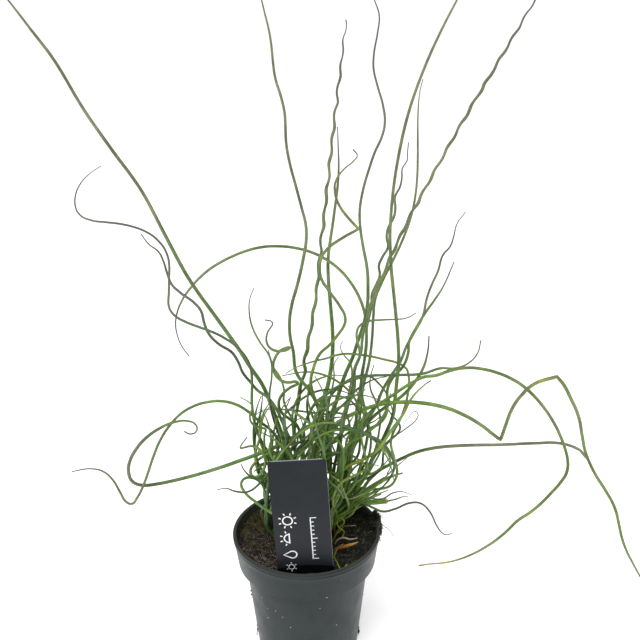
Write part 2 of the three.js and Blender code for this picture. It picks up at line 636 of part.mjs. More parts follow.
// Rings are set close where the stem turns and far apart where it runs straight.
function ringsOf(stem, foot) {
  const line = fineLine(stem, foot);
  const travelled = [0];
  for (let i = 1; i < line.length; i++) travelled.push(travelled[i - 1] + line[i].distanceTo(line[i - 1]));
  const total = travelled[travelled.length - 1];
  const rings = [];
  const before = new Vector3();
  const after = new Vector3();
  const sagitta = stem.coil ? Math.min(STEM.sagitta, stem.coil[1] / 6) : STEM.sagitta;
  let turned = 0;
  let last = 0;
  const add = (i) => {
    const share = travelled[i] / total;
    rings.push({ at: line[i].clone(), radius: radiusAt(stem, share) * STEM.prism, along: travelled[i] });
    turned = 0;
    last = travelled[i];
  };
  add(0);
  for (let i = 1; i < line.length - 1; i++) {
    before.subVectors(line[i], line[i - 1]);
    after.subVectors(line[i + 1], line[i]);
    turned += before.angleTo(after);
    const step = travelled[i] - last;
    const least = STEM.shortest * radiusAt(stem, travelled[i] / total) * STEM.prism;
    const atFoot = STEM.footRings.some((along) => last < along && travelled[i] >= along);
    const due = atFoot || (turned * step > 8 * sagitta && step > least) || step > STEM.straightStep;
    if (due && total - travelled[i] > STEM.tipLength) add(i);
  }
  rings.push({ at: line[line.length - 1].clone(), radius: 0, along: total });
  return rings;
}

// ---- clearance ---------------------------------------------------------------------------------

// The nearest points of two straight pieces, as shares along each.
function nearest(p, q, a, b) {
  const u = new Vector3().subVectors(q, p);
  const v = new Vector3().subVectors(b, a);
  const w = new Vector3().subVectors(p, a);
  const uu = u.dot(u);
  const vv = v.dot(v);
  const uv = u.dot(v);
  const uw = u.dot(w);
  const vw = v.dot(w);
  const det = uu * vv - uv * uv;
  let s = det > 1e-9 ? MathUtils.clamp((uv * vw - vv * uw) / det, 0, 1) : 0;
  let t = MathUtils.clamp((uv * s + vw) / vv, 0, 1);
  s = MathUtils.clamp((uv * t - uw) / uu, 0, 1);
  return [s, t];
}

function piecesOf(stems) {
  const pieces = [];
  stems.forEach((stem, owner) => {
    for (let i = 0; i + 1 < stem.rings.length; i++) pieces.push({ owner, i, stem });
  });
  return pieces;
}

// Pairs of stem pieces that could touch, found through a coarse grid of cells.
function closePairs(pieces, cell) {
  const cells = new Map();
  pieces.forEach((piece, index) => {
    const from = piece.stem.rings[piece.i].at;
    const to = piece.stem.rings[piece.i + 1].at;
    const steps = Math.ceil(from.distanceTo(to) / (cell / 2));
    const seen = new Set();
    for (let k = 0; k <= steps; k++) {
      const at = new Vector3().lerpVectors(from, to, k / Math.max(steps, 1));
      const base = [at.x, at.y, at.z].map((value) => Math.floor(value / cell));
      seen.add(base.join());
    }
    for (const key of seen) {
      if (!cells.has(key)) cells.set(key, []);
      cells.get(key).push(index);
    }
  });
  const pairs = new Set();
  const half = [-1, 0, 1];
  for (const [key, members] of cells) {
    const [x, y, z] = key.split(',').map(Number);
    for (const dx of half) {
      for (const dy of half) {
        for (const dz of half) {
          const others = cells.get([x + dx, y + dy, z + dz].join());
          if (!others) continue;
          for (const a of members) {
            for (const b of others) if (a < b) pairs.add(a * pieces.length + b);
          }
        }
      }
    }
  }
  return [...pairs].map((code) => [pieces[Math.floor(code / pieces.length)], pieces[code % pieces.length]]);
}

function mayTouch(a, b) {
  const reach = SOIL.top + TUFT.crownRise + 1;
  const ringA = a.stem.rings;
  const ringB = b.stem.rings;
  if (a.owner === b.owner) {
    const [low, high] = a.i < b.i ? [a.i, b.i] : [b.i, a.i];
    return high > low + 1 && ringA[high].along - ringA[low + 1].along > 12;
  }
  // Stems of one tuft share its crown.
  const inCrown = ringA[a.i].at.z < reach && ringB[b.i].at.z < reach;
  return !(inCrown && a.stem.tuft === b.stem.tuft);
}

// How far a point has to move to clear the label, the rim and the soil.
function clearOfHolder(at, radius, crown) {
  const push = new Vector3();
  const need = radius + STEM.clear + KEEP.card / 2;
  const card = LABEL.foot;
  const height = at.z - card.z;
  const cardY = card.y - Math.sin(LABEL.tilt) * height;
  const cardX = card.x - Math.sin(LABEL.lean) * height;
  const besideCard = Math.abs(at.x - cardX) - LABEL.width / 2;
  const belowTop = LABEL.shownHeight + KEEP.cardTop - height;
  const behind = cardY + need + KEEP.card / 2 - at.y;
  if (besideCard < need && belowTop > -need && behind > 0 && behind < 2 * need + KEEP.behindCard) {
    push.y += behind;
  }
  const out = Math.hypot(at.x, at.y);
  const inside = POT.rimRadius - KEEP.insideRim;
  const rimTop = POT.height + need + KEEP.rim;
  const overRim = out > inside && out < POT.rimRadius + need + KEEP.rim;
  if (overRim && at.z < rimTop && at.z > POT.height - KEEP.belowRim) push.z += rimTop - at.z;
  const bed = SOIL.top + KEEP.soil + need;
  const pastHole = Math.hypot(at.x - crown.x, at.y - crown.y) + radius > TUFT.crownRadius + GAP;
  if (out < inside && pastHole && at.z < bed) push.z += bed - at.z;
  return push;
}

function clearHolder({ rings, shift, tuft }) {
  const at = new Vector3();
  for (let i = 0; i + 1 < rings.length; i++) {
    const [from, to] = [rings[i], rings[i + 1]];
    const steps = Math.ceil((to.along - from.along) / KEEP.step);
    for (let k = 1; k <= steps; k++) {
      const share = k / steps;
      at.lerpVectors(from.at, to.at, share);
      const push = clearOfHolder(at, from.radius, tuft).multiplyScalar(0.5);
      shift[i].addScaledVector(push, 1 - share);
      shift[i + 1].addScaledVector(push, share);
    }
  }
}

// Stems that would cross are eased apart, a little at a time, each along a smooth stretch.
function easeApart(stems) {
  const pieces = piecesOf(stems);
  let pairs = [];
  for (let round = 0; round < EASE.rounds; round++) {
    if (round % EASE.refresh === 0) pairs = closePairs(pieces, EASE.cell);
    let worst = 0;
    for (const stem of stems) {
      stem.shift = stem.rings.map(() => new Vector3());
      clearHolder(stem);
    }
    for (const [a, b] of pairs) {
      if (!mayTouch(a, b)) continue;
      const [p, q] = [a.stem.rings[a.i], a.stem.rings[a.i + 1]];
      const [c, d] = [b.stem.rings[b.i], b.stem.rings[b.i + 1]];
      const [s, t] = nearest(p.at, q.at, c.at, d.at);
      const apart = new Vector3().lerpVectors(p.at, q.at, s).sub(new Vector3().lerpVectors(c.at, d.at, t));
      const radii = Math.max(p.radius, q.radius) + Math.max(c.radius, d.radius);
      const short = radii + STEM.clear - apart.length();
      if (short <= 0) continue;
      worst = Math.max(worst, short);
      if (apart.lengthSq() < 1e-6) apart.set(0, 1, 0.3);
      apart.setLength(0.5 * (short + EASE.spare));
      const spread = (stem, i, share, sign) => {
        const even = (1 - share) ** 2 + share ** 2;
        if (i > 0) stem.shift[i].addScaledVector(apart, (sign * (1 - share)) / even);
        stem.shift[i + 1].addScaledVector(apart, (sign * share) / even);
      };
      spread(a.stem, a.i, s, 1);
      spread(b.stem, b.i, t, -1);
    }
    for (const stem of stems) moveSmoothly(stem);
    if (worst < EASE.enough) break;
  }
}

// A ring also takes a share of its neighbours' shifts, so the stem bends and doesn't break.
function moveSmoothly(stem) {
  const { rings, shift } = stem;
  const moved = rings.map((ring, i) => {
    const sum = new Vector3();
    let weights = 0;
    for (let k = Math.max(0, i - 6); k <= Math.min(rings.length - 1, i + 6); k++) {
      const far = (rings[k].along - ring.along) / EASE.smooth;
      const weight = Math.exp(-far * far);
      sum.addScaledVector(shift[k], weight);
      weights += weight;
    }
    const own = shift[i].clone().multiplyScalar(EASE.own);
    return sum.multiplyScalar(EASE.shared / weights).add(own);
  });
  rings.forEach((ring, i) => {
    const free = MathUtils.smoothstep(ring.along, STEM.sunk + 3, STEM.sunk + 20);
    ring.at.addScaledVector(moved[i], free);
  });
}

// ---- tuft solids -------------------------------------------------------------------------------

// A three-sided tube through the rings, closed at the foot and drawn to a point at the tip.
function tube(rings) {
  const points = [];
  const faces = [];
  const across = new Vector3(1, 0.2, 0);
  const tangent = new Vector3();
  const other = new Vector3();
  const last = rings.length - 1;
  rings.forEach(({ at, radius }, i) => {
    const ahead = rings[Math.min(i + 1, last)].at;
    const behind = rings[Math.max(i - 1, 0)].at;
    const inward = new Vector3().subVectors(at, behind).normalize();
    const outward = new Vector3().subVectors(ahead, at).normalize();
    tangent.addVectors(inward, outward).normalize();
    across.addScaledVector(tangent, -across.dot(tangent)).normalize();
    other.crossVectors(tangent, across);
    if (i === last) {
      points.push(at.clone());
      return;
    }
    for (let k = 0; k < 3; k++) {
      const angle = (k / 3) * TURN;
      const corner = at.clone().addScaledVector(across, radius * Math.cos(angle));
      points.push(corner.addScaledVector(other, radius * Math.sin(angle)));
    }
  });
  faces.push(0, 2, 1);
  for (let i = 0; i + 1 < last; i++) {
    for (let k = 0; k < 3; k++) {
      const a = 3 * i + k;
      const b = 3 * i + ((k + 1) % 3);
      faces.push(a, b, b + 3, a, b + 3, a + 3);
    }
  }
  const top = 3 * (last - 1);
  const apex = 3 * last;
  for (let k = 0; k < 3; k++) faces.push(top + k, top + ((k + 1) % 3), apex);
  const geometry = new THREE.BufferGeometry().setFromPoints(points);
  geometry.setIndex(faces);
  return geometry;
}

// The profile of a crown: a blunt peg that stands in the soil and ends in a low dome.
function crownProfile() {
  const { crownRadius, crownDepth, crownRise } = TUFT;
  const foot = SOIL.top - crownDepth;
  return [
    [0, foot],
    [crownRadius * 0.8, foot],
    [crownRadius, foot + 3],
    [crownRadius, SOIL.top + crownRise * 0.3],
    [crownRadius * 0.72, SOIL.top + crownRise],
    [0, SOIL.top + crownRise + 0.8],
  ];
}

// The plain hole that a crown stands in.
function holeProfile() {
  const radius = TUFT.crownRadius + GAP;
  const foot = SOIL.top - TUFT.crownDepth - GAP;
  const above = SOIL.top + TUFT.crownDepth;
  return [[0, foot], [radius, foot], [radius, above], [0, above]];
}

function atTuft(profile, tuft) {
  const geometry = turned(profile, TUFT.sides);
  return solidOf(geometry.rotateZ(tuft.turn).translate(tuft.x, tuft.y, 0));
}

// Each stem's foot goes on the side of the crown that the stem leans to.
function setFeet(tuft) {
  const bearing = (stem) => {
    const low = stem.route[stem.route.length - 3] ?? stem.route[0];
    const to = atDepth(low, MathUtils.lerp(tuft.y, stem.depth, 0.15));
    return Math.atan2(to.y - tuft.y, to.x - tuft.x);
  };
  const ordered = tuft.stems.map((stem) => ({ stem, angle: bearing(stem) }));
  ordered.sort((a, b) => a.angle - b.angle);
  const first = ordered[0].angle;
  ordered.forEach(({ stem }, i) => {
    const angle = first + (i / ordered.length) * TURN;
    stem.tuft = tuft;
    stem.foot = new Vector3(tuft.x + TUFT.ring * Math.cos(angle), tuft.y + TUFT.ring * Math.sin(angle), 0);
    stem.rings = ringsOf(stem, stem.foot);
  });
}

// ---- dead leaves -------------------------------------------------------------------------------

// A dry sheath and a straw, each with one end stuck in the soil.
const DEAD = [
  {
    name: 'dry_sheath',
    colour: 0x9a5a1e,
    radius: 1.5,
    points: [[22.6, -18, 89], [22.9, -18.4, 99], [28.5, -22, 104.5], [41.2, -18.4, 106.6]],
  },
  {
    name: 'dry_straw',
    colour: 0xc9b68a,
    radius: 0.8,
    points: [[23.5, -8.8, 91], [23.4, -9, 99.5], [29.5, -10.6, 105.2], [41, -12.4, 106.2]],
  },
];
const DEAD_RINGS = 9;
const DEAD_HOLE = 1.1;

function deadSolid({ radius, points }) {
  const curve = new THREE.CatmullRomCurve3(points.map((place) => new Vector3(...place)));
  const rings = curve.getSpacedPoints(DEAD_RINGS).map((at, i) => {
    return { at, radius: radius * (1 - 0.45 * (i / DEAD_RINGS)) };
  });
  return solidOf(tube(rings));
}

function deadHole({ radius, points }) {
  const [x, y, foot] = points[0];
  const low = foot - GAP;
  const high = SOIL.top + TUFT.crownDepth;
  const hole = upright(radius + DEAD_HOLE, high - low, TUFT.sides);
  return solidOf(hole.translate(x, y, (low + high) / 2));
}

// ---- the whole ---------------------------------------------------------------------------------

function material(name, color, roughness) {
  return new THREE.MeshStandardMaterial({ name, color, roughness, metalness: 0 });
}

const rush = new THREE.Group();

function place(name, solid, look) {
  const mesh = new THREE.Mesh(geometryOf(solid), look);
  mesh.name = name;
  rush.add(mesh);
}

const tufts = plantedTufts();
tufts.forEach(setFeet);
const stems = tufts.flatMap((tuft) => tuft.stems);
easeApart(stems);

let soil = soilPlug().subtract(solidOf(labelGeometry(GAP)));
for (const tuft of tufts) soil = soil.subtract(atTuft(holeProfile(), tuft));
for (const dead of DEAD) soil = soil.subtract(deadHole(dead));

place('pot', potSolid(), material('pot_plastic', 0x3f4547, 0.55));
place('soil', soil, material('potting_soil', 0x1d1712, 1));
place('label', solidOf(labelGeometry(0)), material('label_card', 0x3a4044, 0.5));
tufts.forEach((tuft, i) => {
  let solid = atTuft(crownProfile(), tuft);
  for (const stem of tuft.stems) solid = solid.add(solidOf(tube(stem.rings)));
  place('tuft_' + String(i + 1).padStart(2, '0'), solid, material('rush_stems', 0x5d7a35, 0.5));
});
for (const dead of DEAD) place(dead.name, deadSolid(dead), material(dead.name, dead.colour, 0.8));

export default rush;
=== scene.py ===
# %% [markdown]
# # A corkscrew rush in its pot
#
# The plant is a clump of leafless stems that wind, kink and arch out of a dark nursery pot.
# The solids that this lesson loads already hold every stem, the pot, the soil and the label at
# their real places and sizes, but with flat sides and plain colours. Each step below takes one
# of them and gives it the round shape and the finish of the real thing.

# %% Load the solids
import math
import random

import bmesh
import bpy
from mathutils import Matrix, Vector, noise


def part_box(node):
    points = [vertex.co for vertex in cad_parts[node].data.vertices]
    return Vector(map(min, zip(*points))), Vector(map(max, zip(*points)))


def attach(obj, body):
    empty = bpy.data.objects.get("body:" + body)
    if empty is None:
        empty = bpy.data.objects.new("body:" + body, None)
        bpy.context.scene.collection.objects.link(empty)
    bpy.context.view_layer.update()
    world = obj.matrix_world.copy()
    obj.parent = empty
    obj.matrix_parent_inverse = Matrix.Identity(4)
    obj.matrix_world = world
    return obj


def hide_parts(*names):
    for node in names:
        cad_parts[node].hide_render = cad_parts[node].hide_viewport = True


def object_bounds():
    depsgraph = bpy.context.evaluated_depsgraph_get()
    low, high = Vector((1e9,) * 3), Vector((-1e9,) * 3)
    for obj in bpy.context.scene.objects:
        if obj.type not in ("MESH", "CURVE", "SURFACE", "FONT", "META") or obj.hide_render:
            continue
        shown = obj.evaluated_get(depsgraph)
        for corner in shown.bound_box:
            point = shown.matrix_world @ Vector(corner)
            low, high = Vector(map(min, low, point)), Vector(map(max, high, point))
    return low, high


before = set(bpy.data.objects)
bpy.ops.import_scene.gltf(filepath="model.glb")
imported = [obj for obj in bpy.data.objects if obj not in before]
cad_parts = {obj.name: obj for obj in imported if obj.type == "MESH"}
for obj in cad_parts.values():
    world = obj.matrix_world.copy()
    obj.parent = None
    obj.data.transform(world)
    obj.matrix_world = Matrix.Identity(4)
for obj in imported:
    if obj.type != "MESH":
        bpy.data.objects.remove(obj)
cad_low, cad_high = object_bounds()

print("solids:", len(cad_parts), "box:", tuple(cad_low), tuple(cad_high))

# %% [markdown]
# ## Measures
#
# Everything is in metres. The pot's rim and height come from the loaded solid, so the fine pot
# can't drift away from it. The rest are the sizes of the moulding, written in millimetres.

# %% Measures
MM = 0.001
TURN = 2 * math.pi
_, pot_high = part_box("pot")
RIM_RADIUS = pot_high.x / MM
RIM_Z = pot_high.z / MM
SOIL_Z = RIM_Z - 9
COLLAR_FOOT = RIM_Z - 25.5
WALL = 1.6
BASE_RADIUS = 42
BODY_TOP_RADIUS = 50.6
COLLAR_RADIUS = 56.2
FLOOR = 2.2
SOIL_RADIUS = 56.4
LABEL_WIDTH = 42.8
LABEL_Y = -45.5
print("rim radius", round(RIM_RADIUS, 2), "rim height", round(RIM_Z, 2))


def place(x, y, z):
    """A point given in millimetres."""
    return Vector((x, y, z)) * MM


def on_circle(radius, angle):
    """The x and y of a point on a circle round the origin."""
    return radius * math.cos(angle), radius * math.sin(angle)


# %% [markdown]
# ## Helpers for meshes
#
# A finished piece sits at the origin and keeps its place in its mesh. These helpers make such a
# piece from a bmesh, say which solid it stands for, and turn a live modifier into a plain mesh.

# %% Mesh helpers
def add_object(name, data, *materials):
    piece = bpy.data.objects.new(name, data)
    bpy.context.scene.collection.objects.link(piece)
    for material in materials:
        piece.data.materials.append(material)
    return piece


def object_from(name, shape, *materials, smooth=True):
    """A new object from a bmesh, which is freed."""
    mesh = bpy.data.meshes.new(name)
    for face in shape.faces:
        face.smooth = smooth
    shape.to_mesh(mesh)
    shape.free()
    return add_object(name, mesh, *materials)


def keep_inside(mesh):
    """Brings corners that stand a hair outside the solids' box back to it."""
    for corner in mesh.vertices:
        held = [min(max(at, low), high) for at, low, high in zip(corner.co, cad_low, cad_high)]
        corner.co = held


def settle(piece, slot, *nodes):
    """The piece belongs to the object and stands for these solids; the slot argument is not used."""
    keep_inside(piece.data)
    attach(piece, "root")
    if nodes:
        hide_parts(*nodes)
    triangles = sum(len(face.vertices) - 2 for face in piece.data.polygons)
    print(piece.name, triangles, "triangles")


def plain_mesh(carrier, name):
    """What the carrier's modifiers make, as a plain object; the carrier is removed."""
    seen = carrier.evaluated_get(bpy.context.evaluated_depsgraph_get())
    mesh = bpy.data.meshes.new_from_object(seen)
    bpy.data.objects.remove(carrier)
    return add_object(name, mesh)


def corners_in(made):
    """The corners among the things that a mesh operation made."""
    return [item for item in made if isinstance(item, bmesh.types.BMVert)]


def bridge(shape, rows, sides):
    """Faces between rows of corners, where each row is a full turn or a single corner."""
    for low, high in zip(rows, rows[1:]):
        for side in range(sides):
            after = (side + 1) % sides
            if len(low) == 1:
                shape.faces.new((low[0], high[after], high[side]))
            elif len(high) == 1:
                shape.faces.new((low[side], low[after], high[0]))
            else:
                shape.faces.new((low[side], low[after], high[after], high[side]))


def lathe(profile, sides):
    """A closed shape turned about Z from (radius, height) pairs that start and end on the axis."""
    shape = bmesh.new()
    rows = []
    for radius, height in profile:
        spots = [on_circle(radius, TURN * side / sides) for side in range(sides if radius else 1)]
        rows.append([shape.verts.new(place(x, y, height)) for x, y in spots])
    bridge(shape, rows, sides)
    bmesh.ops.recalc_face_normals(shape, faces=shape.faces)
    return shape


# %% [markdown]
# ## Helpers for node trees
#
# Shaders and Geometry Nodes are both trees of nodes. `Tree` adds a node, sets its values by name
# and links what it is given, so a material or a modifier reads as a few short lines.

# %% Node tree helper
class Tree:
    def __init__(self, nodes_and_links):
        self.tree = nodes_and_links

    def add(self, kind, settings=None, **inputs):
        """A new node; inputs are values or other nodes' outputs, with _ for a space in a name."""
        node = self.tree.nodes.new(kind)
        for key, value in (settings or {}).items():
            setattr(node, key, value)
        for label, value in inputs.items():
            self.give(self.socket(node, label.replace("_", " ")), value)
        return node

    def out(self, kind, settings=None, **inputs):
        """The first output of a new node."""
        return self.add(kind, settings, **inputs).outputs[0]

    @staticmethod
    def socket(node, label):
        return next(s for s in node.inputs if s.name == label and s.enabled)

    def give(self, socket, value):
        if isinstance(value, bpy.types.NodeSocket):
            self.tree.links.new(value, socket)
        else:
            socket.default_value = value

    def maths(self, how, first, second=0.0, third=0.0, clamp=False):
        node = self.tree.nodes.new("ShaderNodeMath")
        node.operation = how
        node.use_clamp = clamp
        for socket, value in zip(node.inputs, (first, second, third)):
            self.give(socket, value)
        return node.outputs[0]

    def times(self, first, second, clamp=False):
        return self.maths("MULTIPLY", first, second, clamp=clamp)

    def vectors(self, how, *values):
        """What a vector operation makes of its values."""
        node = self.add("ShaderNodeVectorMath", {"operation": how})
        for socket, value in zip([s for s in node.inputs if s.enabled], values):
            self.give(socket, value)
        return next(s for s in node.outputs if s.enabled)

    def apart(self, vector):
        """The x, y and z of a vector."""
        return self.add("ShaderNodeSeparateXYZ", Vector=vector).outputs

    def attribute(self, label, output="Fac"):
        """A value that the mesh carries, for a shader."""
        return self.add("ShaderNodeAttribute", {"attribute_name": label}).outputs[output]

    def stretch(self, value, low, high, to_low=0.0, to_high=1.0):
        """value, moved from the range low..high to the range to_low..to_high, and kept there."""
        node = self.add("ShaderNodeMapRange", {"interpolation_type": "SMOOTHSTEP"})
        for socket, amount in zip(node.inputs, (value, low, high, to_low, to_high)):
            self.give(socket, amount)
        return node.outputs[0]

    def blend(self, factor, first, second, how="MIX"):
        """Two colours mixed by a factor."""
        node = self.tree.nodes.new("ShaderNodeMix")
        node.data_type = "RGBA"
        node.blend_type = how
        self.give(node.inputs[0], factor)
        for socket, colour in zip((node.inputs[6], node.inputs[7]), (first, second)):
            self.give(socket, colour if isinstance(colour, bpy.types.NodeSocket) else (*colour, 1))
        return node.outputs[2]


def new_group(kind, name, inputs, outputs):
    """A node group with its sockets; returns (group, Tree, what comes in, what goes out)."""
    group = bpy.data.node_groups.new(name, kind)
    for label, socket_type, value in inputs:
        socket = group.interface.new_socket(label, in_out="INPUT", socket_type=socket_type)
        if value is not None:
            socket.default_value = value
    for label, socket_type in outputs:
        group.interface.new_socket(label, in_out="OUTPUT", socket_type=socket_type)
    start = group.nodes.new("NodeGroupInput").outputs
    end = group.nodes.new("NodeGroupOutput").inputs
    return group, Tree(group), start, end


# %% [markdown]
# ## Effects that several finishes share
#
# Moulded plastic, soil, card and stems all vary a little in tone, and most have a fine grain.
# Each effect is a shader node group, built once: `mottle` puts out a value from two sizes of
# noise, and `grain` puts out a bumped normal. `ribs` is for everything that has grown: it reads
# the `fibre` attribute of the round tubes, streaks a colour lengthwise and bumps the normal.

# %% Shared effects
VALUE = "NodeSocketFloat"
VECTOR = "NodeSocketVector"
COLOUR = "NodeSocketColor"
FINER = 4.3
FINE_SHARE = 0.35
NOISE_RANGE = (0.42, 0.92)
STREAK_RANGE = (0.3, 0.7)
RIB_DEPTH = 0.0003

mottle, tree, start, end = new_group(
    "ShaderNodeTree",
    "mottle",
    [("Place", VECTOR, None), ("Size", VALUE, 0.01), ("Low", VALUE, 0.0), ("High", VALUE, 1.0)],
    [("Value", VALUE)],
)
scale = tree.maths("DIVIDE", 1.0, start["Size"])
wide = tree.add("ShaderNodeTexNoise", Vector=start["Place"], Scale=scale, Detail=3.0)
finer = tree.times(scale, FINER)
fine = tree.add("ShaderNodeTexNoise", Vector=start["Place"], Scale=finer, Detail=2.0)
both = tree.maths("MULTIPLY_ADD", fine.outputs["Fac"], FINE_SHARE, wide.outputs["Fac"])
spread = tree.stretch(both, *NOISE_RANGE, start["Low"], start["High"])
tree.give(end["Value"], spread)

grain, tree, start, end = new_group(
    "ShaderNodeTree",
    "grain",
    [("Place", VECTOR, None), ("Size", VALUE, 0.001), ("Depth", VALUE, 0.0001)],
    [("Normal", VECTOR)],
)
scale = tree.maths("DIVIDE", 1.0, start["Size"])
cells = tree.add("ShaderNodeTexNoise", Vector=start["Place"], Scale=scale, Detail=4.0)
bump = tree.add("ShaderNodeBump", Distance=start["Depth"], Height=cells.outputs["Fac"])
tree.give(end["Normal"], bump.outputs["Normal"])

ribs, tree, start, end = new_group(
    "ShaderNodeTree",
    "ribs",
    [
        ("Colour", COLOUR, None),
        ("Round", VALUE, 6.0),
        ("Along", VALUE, 90.0),
        ("Low", VALUE, 0.6),
        ("High", VALUE, 1.3),
        ("Strength", VALUE, 0.4),
    ],
    [("Colour", COLOUR), ("Normal", VECTOR)],
)
across = start["Round"]
fibre = tree.attribute("fibre", "Vector")
counts = tree.out("ShaderNodeCombineXYZ", X=across, Y=across, Z=start["Along"])
scaled = tree.vectors("MULTIPLY", fibre, counts)
streak = tree.add("ShaderNodeTexNoise", Vector=scaled, Scale=1.0, Detail=2.0).outputs["Fac"]
tint = tree.stretch(streak, *STREAK_RANGE, start["Low"], start["High"])
grey = tree.out("ShaderNodeCombineColor", Red=tint, Green=tint, Blue=tint)
tree.give(end["Colour"], tree.blend(1.0, start["Colour"], grey, "MULTIPLY"))
bump = tree.add("ShaderNodeBump", Strength=start["Strength"], Distance=RIB_DEPTH, Height=streak)
tree.give(end["Normal"], bump.outputs["Normal"])
print("groups:", mottle.name, grain.name, ribs.name)


# %% Material helper
def new_material(name, roughness, specular=0.5):
    """A material with its Tree, its Principled shader and the place of each point."""
    material = bpy.data.materials.new(name)
    material.use_nodes = True
    tree = Tree(material.node_tree)
    shader = material.node_tree.nodes["Principled BSDF"]
    shader.inputs["Roughness"].default_value = roughness
    shader.inputs["Specular IOR Level"].default_value = specular
    spot = tree.add("ShaderNodeTexCoord").outputs["Object"]
    return material, tree, shader, spot


def effect(tree, group, **inputs):
    """A shared effect placed in a material; returns its only output."""
    return tree.out("ShaderNodeGroup", {"node_tree": group}, **inputs)


def two_tone(name, roughness, specular, size, first, second):
    """A finish of two mottled colours; returns what new_material does."""
    material, tree, shader, spot = new_material(name, roughness, specular)
    tones = tree.blend(effect(tree, mottle, Place=spot, Size=size), first, second)
    tree.give(shader.inputs["Base Color"], tones)
    return material, tree, shader, spot


def ribbed(tree, shader, colour, **inputs):
    """The colour with lengthwise ribs, whose bump goes to the shader."""
    node = tree.add("ShaderNodeGroup", {"node_tree": ribs}, Colour=colour, **inputs)
    tree.give(shader.inputs["Normal"], node.outputs["Normal"])
    return node.outputs["Colour"]


# %% [markdown]
# ## The camera, the floor and the light
#
# The camera stands close by and looks a little down on the pot from half a metre up, so the rim
# shows as a wide ellipse. The floor is one large white sheet, and the room that
# the camera sees behind it is as white, so there is no horizon. Two tall soft lights at the
# sides draw the pale edges of the pot, and a large one above the camera lights the stems.

# %% Camera
EYE = place(12.8, -553.4, 493.8)
LOOK_DOWN = math.radians(20.35)
ROLL = math.radians(-0.62)
LENS = 45
SENSOR = 36
NEAREST = 0.01

lens = bpy.data.cameras.new("camera")
lens.lens = LENS
lens.sensor_width = SENSOR
lens.clip_start = NEAREST
camera = bpy.data.objects.new("camera", lens)
bpy.context.scene.collection.objects.link(camera)
aim = Matrix.Rotation(math.pi / 2 - LOOK_DOWN, 4, "X") @ Matrix.Rotation(ROLL, 4, "Z")
camera.matrix_world = Matrix.Translation(EYE) @ aim
bpy.context.scene.camera = camera
print("camera at", tuple(round(value, 3) for value in EYE))

# %% Floor
FLOOR_RADIUS = 8.0
FLOOR_SIDES = 96
PAPER = (0.93, 0.93, 0.93, 1)
WHITE = (1, 1, 1, 1)
GLOW_FROM = 0.35
GLOW_TO = 1.8
GLOW_NEAR = 0.35
GLOW_FAR = 0.65

shape = bmesh.new()
bmesh.ops.create_circle(shape, cap_ends=True, radius=FLOOR_RADIUS, segments=FLOOR_SIDES)
paper, tree, shader, spot = new_material("floor_paper", 0.9, 0.1)
shader.inputs["Base Color"].default_value = PAPER
shader.inputs["Emission Color"].default_value = WHITE
from_pot = tree.vectors("LENGTH", spot)
glow = tree.stretch(from_pot, GLOW_FROM, GLOW_TO, GLOW_NEAR, GLOW_FAR)
tree.give(shader.inputs["Emission Strength"], glow)
object_from("floor", shape, paper)
print("floor radius", FLOOR_RADIUS, "m")


# %% Light
PLANT_MIDDLE = Vector((0, 0, 0.2))
ROOM_LIGHT = 0.55
ROOM_SEEN = 1.1


def soft_light(name, at, size, power, tall=None):
    """A soft rectangular light that faces the middle of the plant."""
    data = bpy.data.lights.new(name, "AREA")
    data.shape = "RECTANGLE"
    data.size = size
    data.size_y = tall or size
    data.energy = power
    light = bpy.data.objects.new(name, data)
    bpy.context.scene.collection.objects.link(light)
    light.location = at
    light.rotation_euler = (PLANT_MIDDLE - Vector(at)).to_track_quat("-Z", "Y").to_euler()


soft_light("light_above", (-0.35, -0.8, 1.9), 1.1, 24)
soft_light("light_left", (-1.5, 0.1, 0.5), 0.7, 10, tall=1.5)
soft_light("light_right", (1.5, 0.2, 0.5), 0.7, 9, tall=1.5)
room = bpy.data.worlds.new("room")
bpy.context.scene.world = room
room.use_nodes = True
tree = Tree(room.node_tree)
seen = tree.add("ShaderNodeLightPath").outputs["Is Camera Ray"]
white = room.node_tree.nodes["Background"]
white.inputs["Color"].default_value = WHITE
tree.give(white.inputs["Strength"], tree.stretch(seen, 0.0, 1.0, ROOM_LIGHT, ROOM_SEEN))
bpy.context.scene.view_settings.view_transform = "Standard"
print("lights: 3 and the room")

# %% [markdown]
# ## The pot
#
# The real pot is blown or moulded from dark plastic: a tapered body, a wide collar with a small
# step below it and a rolled lip. Turning a fine profile keeps every edge round, and a Boolean
# cuts the drain holes, as the tool does in the factory.

# %% Pot shape
LIP = 1.2
DRAINS = 6
DRAIN_RADIUS = 4
DRAIN_RING = 29
DRAIN_SIDES = 28
POT_SIDES = 160


def rounded(corner, before, after, radius, steps=5):
    """Points that round a corner of a profile, from the side of before to the side of after."""
    corner, before, after = Vector(corner), Vector(before), Vector(after)
    start = corner + (before - corner).normalized() * radius
    end = corner + (after - corner).normalized() * radius
    points = []
    for step in range(steps + 1):
        share = step / steps
        points.append(start.lerp(corner, share).lerp(corner.lerp(end, share), share))
    return [tuple(point) for point in points]


def round_profile(corners):
    """A profile from (radius, height, rounding) corners."""
    line = []
    for k, (radius, height, rounding) in enumerate(corners):
        if rounding == 0:
            line.append((radius, height))
            continue
        before, after = corners[k - 1][:2], corners[k + 1][:2]
        line.extend(rounded((radius, height), before, after, rounding))
    return line


